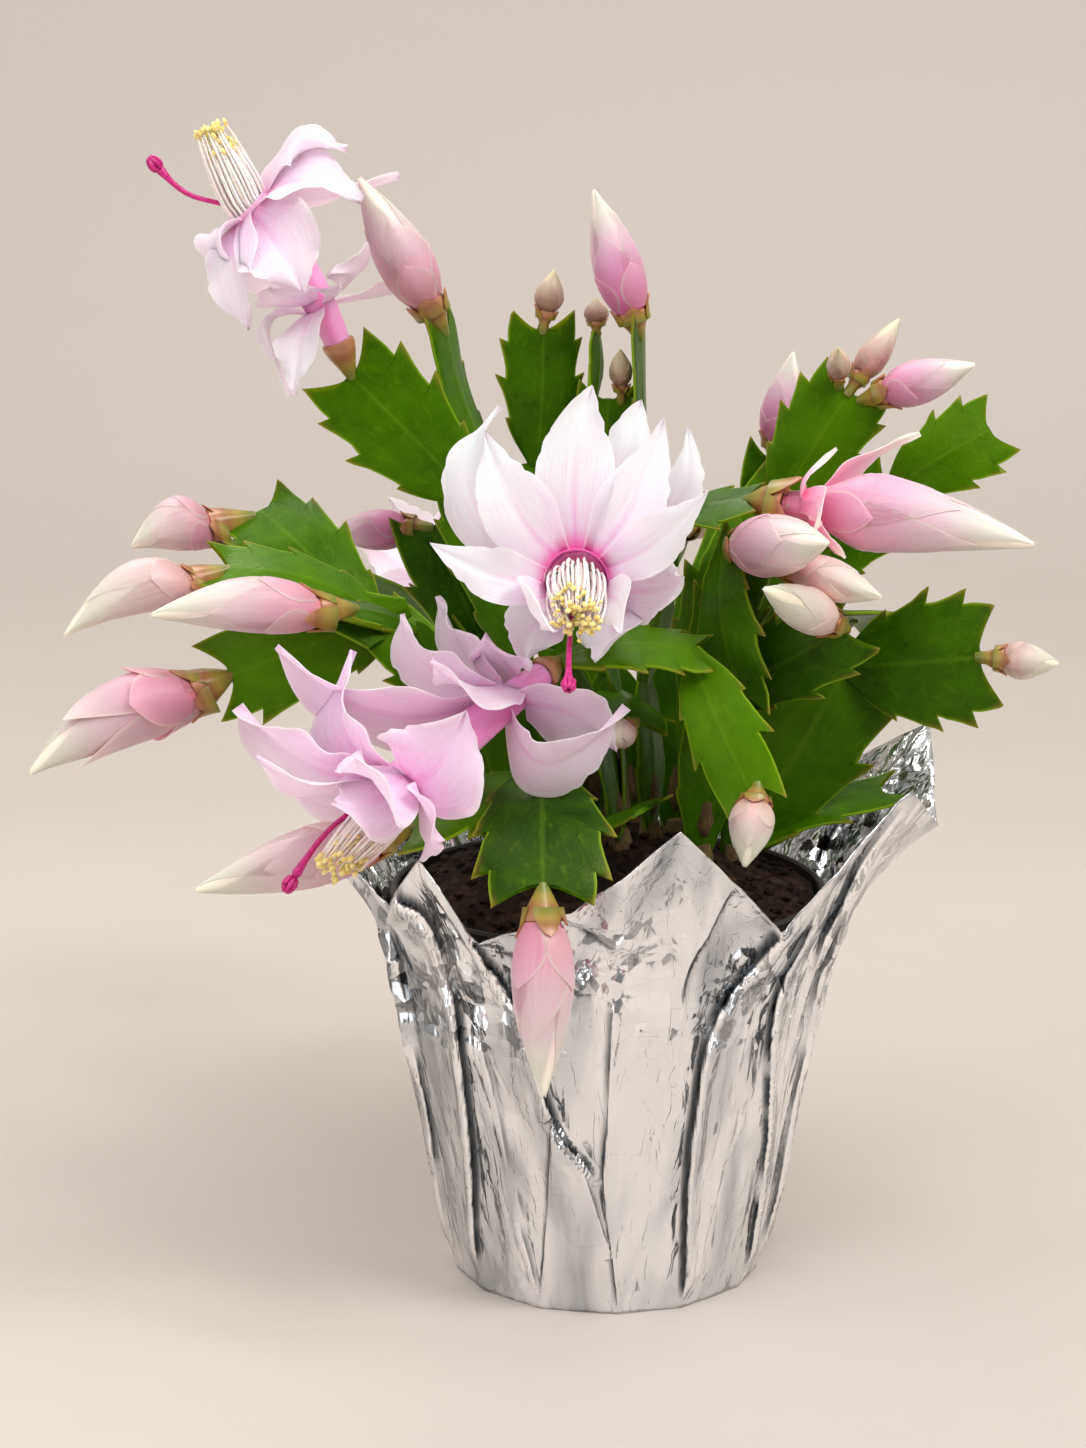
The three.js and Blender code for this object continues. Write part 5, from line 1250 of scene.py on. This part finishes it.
def makeBud(number, bud):
    draw = random.Random(seeds["buds"] + number)
    centre, side, top, _ = budLine(bud)
    ahead = side.cross(top)
    if ahead.dot(centre(1) - centre(0)) < 0:
        ahead = -ahead
    tone = bud.get("tone", 0.5)
    green = bud.get("green", 0)
    bm = newMesh()
    shares = [0, 0, 0.05, 0.12, 0.2, 0.3, 0.4, 0.5, 0.6, 0.7, 0.8, 0.88, 0.94, 0.98, 1]
    rings = []
    for k, share in enumerate(shares):
        radius = 0.95 * budRadius(bud, share) if 0 < k < len(shares) - 1 else 0
        rings.append((centre(share), side, top, radius))
    addTube(bm, rings, 20, tone=tone, alongs=shares)
    fine = bud["wide"] > budLook["fineFrom"]
    turn = draw.uniform(0, 6.3)
    for tier in ("inner", "middle", "outer"):
        look = budLook[tier]
        count = look["count"] if fine else 2
        for k in range(count):
            turn += 2 * math.pi / count
            addBudPetal(bm, bud, look, turn + draw.uniform(-0.25, 0.25), draw)
        turn += 0.9
    along, accent = layersOf(bm)[1::2]
    for vert in bm.verts:  # a petal is tinted by how far up the bud each point lies
        if vert[accent] > 0:
            vert[along] = vert[accent]
    radius = 0.6 * bud.get("waist", budLook["waist"]) * bud["wide"] / 2
    for petal in bud.get("petals", []):
        addPetal(bm, centre(petal[0]), ahead, radius, petal, tone, 0, draw)
    for vert in bm.verts:
        vert[accent] = green
    return finishPiece(bm, camelName(bud["name"]), [budPetal], [bud["name"]], 60)


def addBudPetal(bm, bud, look, turn, draw):
    centre, side, top, _ = budLine(bud)
    low = look["start"] + draw.uniform(0, 0.04)
    high = look["end"] * (1 - draw.uniform(0, 0.22) * (look["end"] < 1))
    wide = math.radians(look["angle"] * draw.uniform(0.85, 1.15))
    lift = look["lift"] * bud["wide"] / 12 + bud.get("loose", 0) * (look["end"] < 1)
    lean = draw.uniform(-0.35, 0.35)

    def put(across, along):
        share = mix(low, high, along)
        shape = through(petalShape, along)[0]
        angle = turn + lean * along + across * wide * shape
        radius = budRadius(bud, share) * 0.96 + look["off"] * bud["wide"] / 13
        radius += lift * along ** 4
        outward = side * math.cos(angle) + top * math.sin(angle)
        half = budLook["half"] * (1 - 0.5 * abs(across))
        return centre(share) + outward * radius, outward, half, share

    columns, rows = (10, 16) if bud["wide"] > budLook["fineFrom"] else (6, 8)
    addSheet(bm, columns, rows, put, tone=clamp(bud.get("tone", 0.5) + draw.uniform(-0.12, 0.12)))


# petals

petalLook = dict(
    widths=[(0, 0.4), (0.18, 0.74), (0.34, 0.97), (0.48, 1.0), (0.6, 0.88), (0.74, 0.62), (0.88, 0.3),
            (1, 0.01)],
    columns=14, rows=34, cupping=0.17, ruffle=0.07, nick=0.16, half=0.17,
)


def addPetal(bm, at, around, radius, petal, tone, throat, draw):
    # a petal that leaves a tube at at, where the tube runs along around and is this wide
    _, via, tip, wide = petal
    via, tip = Vector(via), Vector(tip)
    out = via - at
    out -= around * out.dot(around)
    out.normalize()
    foot = at + out * (radius - 0.7)
    side = around.cross(out).normalized()
    bend = via * 2 - foot * 0.5 - tip * 0.5
    phases = [draw.uniform(0, 6.3) for _ in range(3)]
    ruffle = petalLook["ruffle"] * wide * draw.uniform(0.6, 1.4)
    twist = draw.uniform(-0.12, 0.12)

    def put(across, along):
        ahead = bowAhead(foot, bend, tip, along)
        sideways = (side - ahead * side.dot(ahead)).normalized()
        normal = sideways.cross(ahead)
        half = wide / 2 * through(petalLook["widths"], along)[0]
        nick = math.sin(phases[2] + 19 * along + 2.5 * (across > 0)) * math.sin(phases[1] + 31 * along)
        half *= 1 - petalLook["nick"] * ease(0.4, 0.7, along) * max(0, nick)
        reach = abs(across)
        midrib = 0.05 * wide * math.exp(-(across / 0.2) ** 2) * along
        bow = -petalLook["cupping"] * half * reach ** 1.5 + midrib
        phase = phases[0 if across > 0 else 1]
        bow += ruffle * reach ** 2.5 * math.sin(phase + 11 * along) * ease(0.1, 0.4, along)
        bow += twist * across * half * along
        here = bowPoint(foot, bend, tip, along) + sideways * (across * half) + normal * bow
        accent = throat * (1 - ease(0.0, 0.17, along))
        return here, normal, petalLook["half"] * (1.3 - 0.7 * reach), accent

    petalTone = clamp(tone + draw.uniform(-0.1, 0.1))
    addSheet(bm, petalLook["columns"], petalLook["rows"], put, tone=petalTone)


# flowers: a bent tube with two tiers of petals, a bunch of stamens and a style

flowerLook = dict(
    filaments=84, filamentRadius=0.38, anther=0.75, spread=6.2, tubeFoot=3.4, tubeWall=0.6, tubeSteps=14,
    lobes=7,
)


def addStrand(bm, line, steps, sides, radiusAt, reach=1):  # a closed strand through a line's points
    shares = [k / steps * reach for k in range(steps + 1)]
    radii = [0] + [radiusAt(share) for share in shares[1:-1]] + [0]
    addTube(bm, ringsAlong(lambda share: curvePoint(line, share), shares, radii), sides)


def makeFlower(number, flower):
    draw = random.Random(seeds["flowers"] + number)
    foot = tipOf(flower["on"])
    bend = Vector(flower["bend"])
    mouth = Vector(flower["mouth"])
    start = foot + (bend - foot).normalized() * (flower["cup"] + 0.3)
    tone = flower.get("tone", 0.4)
    throat = flower.get("throat", 0.7)

    def centre(share):
        return bowPoint(start, bend, mouth, share)

    def ahead(share):
        return bowAhead(start, bend, mouth, share)

    def radiusAt(share):
        return mix(flowerLook["tubeFoot"], flower["tubeRadius"], share)

    bm = newMesh()
    wall = flowerLook["tubeWall"]
    steps = flowerLook["tubeSteps"]
    deep = steps - 2  # the tube is open down to this step
    outside = [(k / steps, radiusAt(k / steps)) for k in range(steps + 1)]
    inside = []
    for k in range(steps, deep - 1, -1):
        inside.append((k / steps, radiusAt(k / steps) - wall * (0.4 if k == steps else 1)))
    rings = []
    for share, radius in [(0, 0), *outside, *inside, (deep / steps, 0)]:
        side, top = sideAndTop(ahead(share))
        rings.append((centre(share), side, top, radius))
    addTube(bm, rings, 28, tone=tone + 0.25)
    along, accent = layersOf(bm)[1::2]
    rimStep = steps + 1.5
    for vert in bm.verts:  # hottest at the mouth's rim
        step = vert[along] * (len(rings) - 1)
        rim = math.exp(-((step - rimStep) / 1.6) ** 2)
        within = 0.55 if step > rimStep else 0.25
        vert[accent] = mix(within, flower.get("tube", 0.4), rim)
    for share, via, tip, wide in flower["petals"]:
        inner = share > 0.8
        petal = [share, via, tip, wide * flower.get("width", 1)]
        petalTone = tone if inner else tone - 0.1
        glow = throat if inner else 0.3 * throat
        addPetal(bm, centre(share), ahead(share), radiusAt(share), petal, petalTone, glow, draw)
    name = camelName(flower["name"])
    finishPiece(bm, name + "Petals", [flowerPetal], [flower["name"] + "_petals"], 60)
    makeStamens(name, flower, centre, ahead, draw)
    makeStyle(name, flower, centre, ahead)


def bowOf(flower, axis):
    bow = Vector(flower["styleBow"])
    bow -= axis * bow.dot(axis)
    return bow.normalized()


def makeStamens(name, flower, centre, ahead, draw):
    axis = ahead(1)
    bow = bowOf(flower, axis)
    right = axis.cross(Vector((0, 0, 1))).normalized()
    ends = Vector(flower["anthersTo"])
    reach = ends - centre(1)
    across = reach.cross(right).normalized()
    spread = flower.get("spread", flowerLook["spread"])
    thick = flowerLook["filamentRadius"]
    bm = newMesh()
    for number in range(flowerLook["filaments"]):
        turn = number * 2.4  # close to the golden angle, so that they fill the bunch evenly
        far = math.sqrt((number + 0.5) / flowerLook["filaments"])
        away = right * math.cos(turn) + across * math.sin(turn)
        end = ends + away * (far * spread) + reach * draw.uniform(-0.38, 0.1)
        root = centre(0.5) + away * (far * 2.2) - bow * 1.0
        throat = centre(0.95) + away * (far * 0.84 * flower["tubeRadius"])
        knee = throat.lerp(end, 0.5) + away * 1.0 + Vector((0, 0, -0.6))
        addStrand(bm, [root, throat, knee, end], 9, 6, lambda share: thick * (1.15 - 0.4 * share))
        pointing = (end - knee).normalized()
        tilt = (pointing + away * draw.uniform(0, 0.8)).normalized()
        side, top = sideAndTop(tilt)
        size = flowerLook["anther"] * draw.uniform(0.85, 1.2)
        pod = [(-1.2, 0), (-1.0, 0.5), (-0.4, 0.8), (0.2, 0.82), (0.8, 0.55), (1.2, 0)]
        rings = [(end + tilt * (size * at), side, top, size * out) for at, out in pod]
        addTube(bm, rings, 7, slot=1, shape=lambda angle, share: 1 + 0.14 * math.cos(2 * angle))
    materials = [filamentWhite, pollenYellow]
    finishPiece(bm, name + "Stamens", materials, [flower["name"] + "_stamens"])


def makeStyle(name, flower, centre, ahead):
    bow = bowOf(flower, ahead(1))
    floor = centre(0.35) + ahead(0.35) * 0.3
    leave = centre(1) + bow * (0.34 * flower["tubeRadius"])
    end = Vector(flower["styleTo"])
    line = [floor + bow * 1.1, centre(0.65) + bow * 1.4, leave, leave.lerp(end, 0.5) + bow * 3, end]
    bm = newMesh()
    knots = [(0, 0), (0.004, 0.5), (0.3, 0.55), (0.6, 0.62), (0.84, 0.75), (0.9, 1.1), (0.93, 1.5),
             (0.96, 1.3)]
    addStrand(bm, line, 24, 12, lambda share: max(0.3, through(knots, share)[0]), reach=0.95)
    tip = curvePoint(line, 0.94)
    pointing = (end - curvePoint(line, 0.88)).normalized()
    side, top = sideAndTop(pointing)
    for k in range(flowerLook["lobes"]):  # the lobes of the stigma, held close
        turn = 2 * math.pi * k / flowerLook["lobes"]
        away = side * math.cos(turn) + top * math.sin(turn)
        lobe = [tip - pointing * 1.2 + away * 0.5, tip + away * 1.35, tip + pointing * 2.0 + away * 1.1,
                tip + pointing * 3.2 + away * 0.35]
        addStrand(bm, lobe, 8, 7, lambda share: 0.62 * math.sin(math.pi * (0.2 + 0.7 * share)))
    finishPiece(bm, name + "Style", [stylePink], [flower["name"] + "_style"])


for number, stem in enumerate(stems):
    makeStem(number, stem)
print("cactus: leafy stems made")
for number, bud in enumerate(buds):
    makeBud(number, bud)
print("cactus: buds made")
for number, flower in enumerate(flowers):
    makeFlower(number, flower)
print("cactus: flowers made")


# floor, light and camera

stage = dict(back=1.05, bend=0.8, width=9.0, front=-5.0, rise=1.4, dark=0.2, light=0.62)
lights = [
    dict(name="keyLight", at=(0.8, -0.6, 1.25), towards=(0, 0, 0.12), size=(0.5, 0.5), power=11,
         tint="fffcf8"),
    dict(name="fillLight", at=(-1.0, -0.9, 0.7), towards=(0, 0, 0.15), size=(1.3, 1.3), power=8.2,
         tint="ffffff"),
    dict(name="overheadLight", at=(0.25, -0.75, 2.1), towards=(0, 0.6, 0.1), size=(2.0, 2.0), power=24,
         tint="ffffff"),
    dict(name="rimLight", at=(-0.3, 0.5, 0.95), towards=(0, 0, 0.2), size=(0.5, 0.3), power=3,
         tint="fffaf2"),
]
viewpoint = dict(lens=85, sensor=36, at=(-0.017, -0.866, 0.3419), tilt=77.3)


def makeFloor():
    bm = bmesh.new()
    verts = bmesh.ops.create_grid(bm, x_segments=2, y_segments=60, size=1)["verts"]
    for vert in verts:
        far = (vert.co.y + 1) / 2
        run = mix(stage["front"], stage["back"] + stage["rise"] + stage["bend"], far)
        over = run - stage["back"]
        turn = min(math.pi / 2, max(0, over / stage["bend"]))
        y = min(run, stage["back"]) + stage["bend"] * math.sin(turn)
        z = stage["bend"] * (1 - math.cos(turn)) + max(0, over - stage["bend"] * math.pi / 2)
        vert.co = Vector((vert.co.x * stage["width"] / 2, y, z))
    bmesh.ops.recalc_face_normals(bm, faces=bm.faces)
    mesh = bpy.data.meshes.new("floor")
    bm.to_mesh(mesh)
    bm.free()
    mesh.shade_smooth()
    material = newMaterial("paleFloor", Roughness=0.8)
    where = objectSpot(material)
    tint = rampOf(material, noiseOf(material, where, 3.0, 5), [(0.3, "c1b9b1"), (0.7, "cac2bb")])
    depth = addNode(material, "SeparateXYZ", {0: where}).outputs["Y"]
    tint = blendTint(material, remap(material, depth, 0.5, 1.7), tint, "e0d7d0")  # paler at the back
    grain = noiseOf(material, where, 220, 4)
    setShader(material, Base_Color=tint, Normal=bumpOf(material, grain, 0.1, 0.4))
    mesh.materials.append(material)
    floor = bpy.data.objects.new("floor", mesh)
    bpy.context.scene.collection.objects.link(floor)


def makeLight(name, at, towards, size, power, tint):
    lamp = bpy.data.lights.new(name, "AREA")
    lamp.shape = "RECTANGLE"
    lamp.size, lamp.size_y = size
    lamp.energy = power
    lamp.color = tintOf(tint)[:3]
    light = bpy.data.objects.new(name, lamp)
    light.location = at
    light.rotation_euler = (Vector(towards) - Vector(at)).to_track_quat("-Z", "Y").to_euler()
    bpy.context.scene.collection.objects.link(light)


def makeWorld():
    world = bpy.data.worlds.new("studio")
    bpy.context.scene.world = world
    world.use_nodes = True
    nodes = world.node_tree.nodes
    where = nodes.new("ShaderNodeTexCoord")  # the room is darker low down on the viewer's side
    axes = nodes.new("ShaderNodeSeparateXYZ")
    reach = nodes.new("ShaderNodeMath")
    reach.operation = "MULTIPLY_ADD"
    reach.inputs[1].default_value = 0.8
    shade = nodes.new("ShaderNodeMapRange")
    for socket, value in ((1, -0.5), (2, 0.6), (3, stage["dark"]), (4, stage["light"])):
        shade.inputs[socket].default_value = value
    joins = world.node_tree.links
    joins.new(where.outputs["Generated"], axes.inputs[0])
    joins.new(axes.outputs["Y"], reach.inputs[0])
    joins.new(axes.outputs["Z"], reach.inputs[2])
    joins.new(reach.outputs[0], shade.inputs[0])
    joins.new(shade.outputs[0], nodes["Background"].inputs["Strength"])
    nodes["Background"].inputs["Color"].default_value = (1, 0.96, 0.92, 1)


def makeCamera():
    lens = bpy.data.cameras.new("camera")
    lens.lens = viewpoint["lens"]
    lens.sensor_width = viewpoint["sensor"]
    camera = bpy.data.objects.new("camera", lens)
    camera.location = viewpoint["at"]
    camera.rotation_euler = (math.radians(viewpoint["tilt"]), 0, 0)
    bpy.context.scene.collection.objects.link(camera)
    bpy.context.scene.camera = camera


makeFloor()
for light in lights:
    makeLight(**light)
makeWorld()
makeCamera()
bpy.context.scene.view_settings.view_transform = "Standard"
print("cactus: stage made")
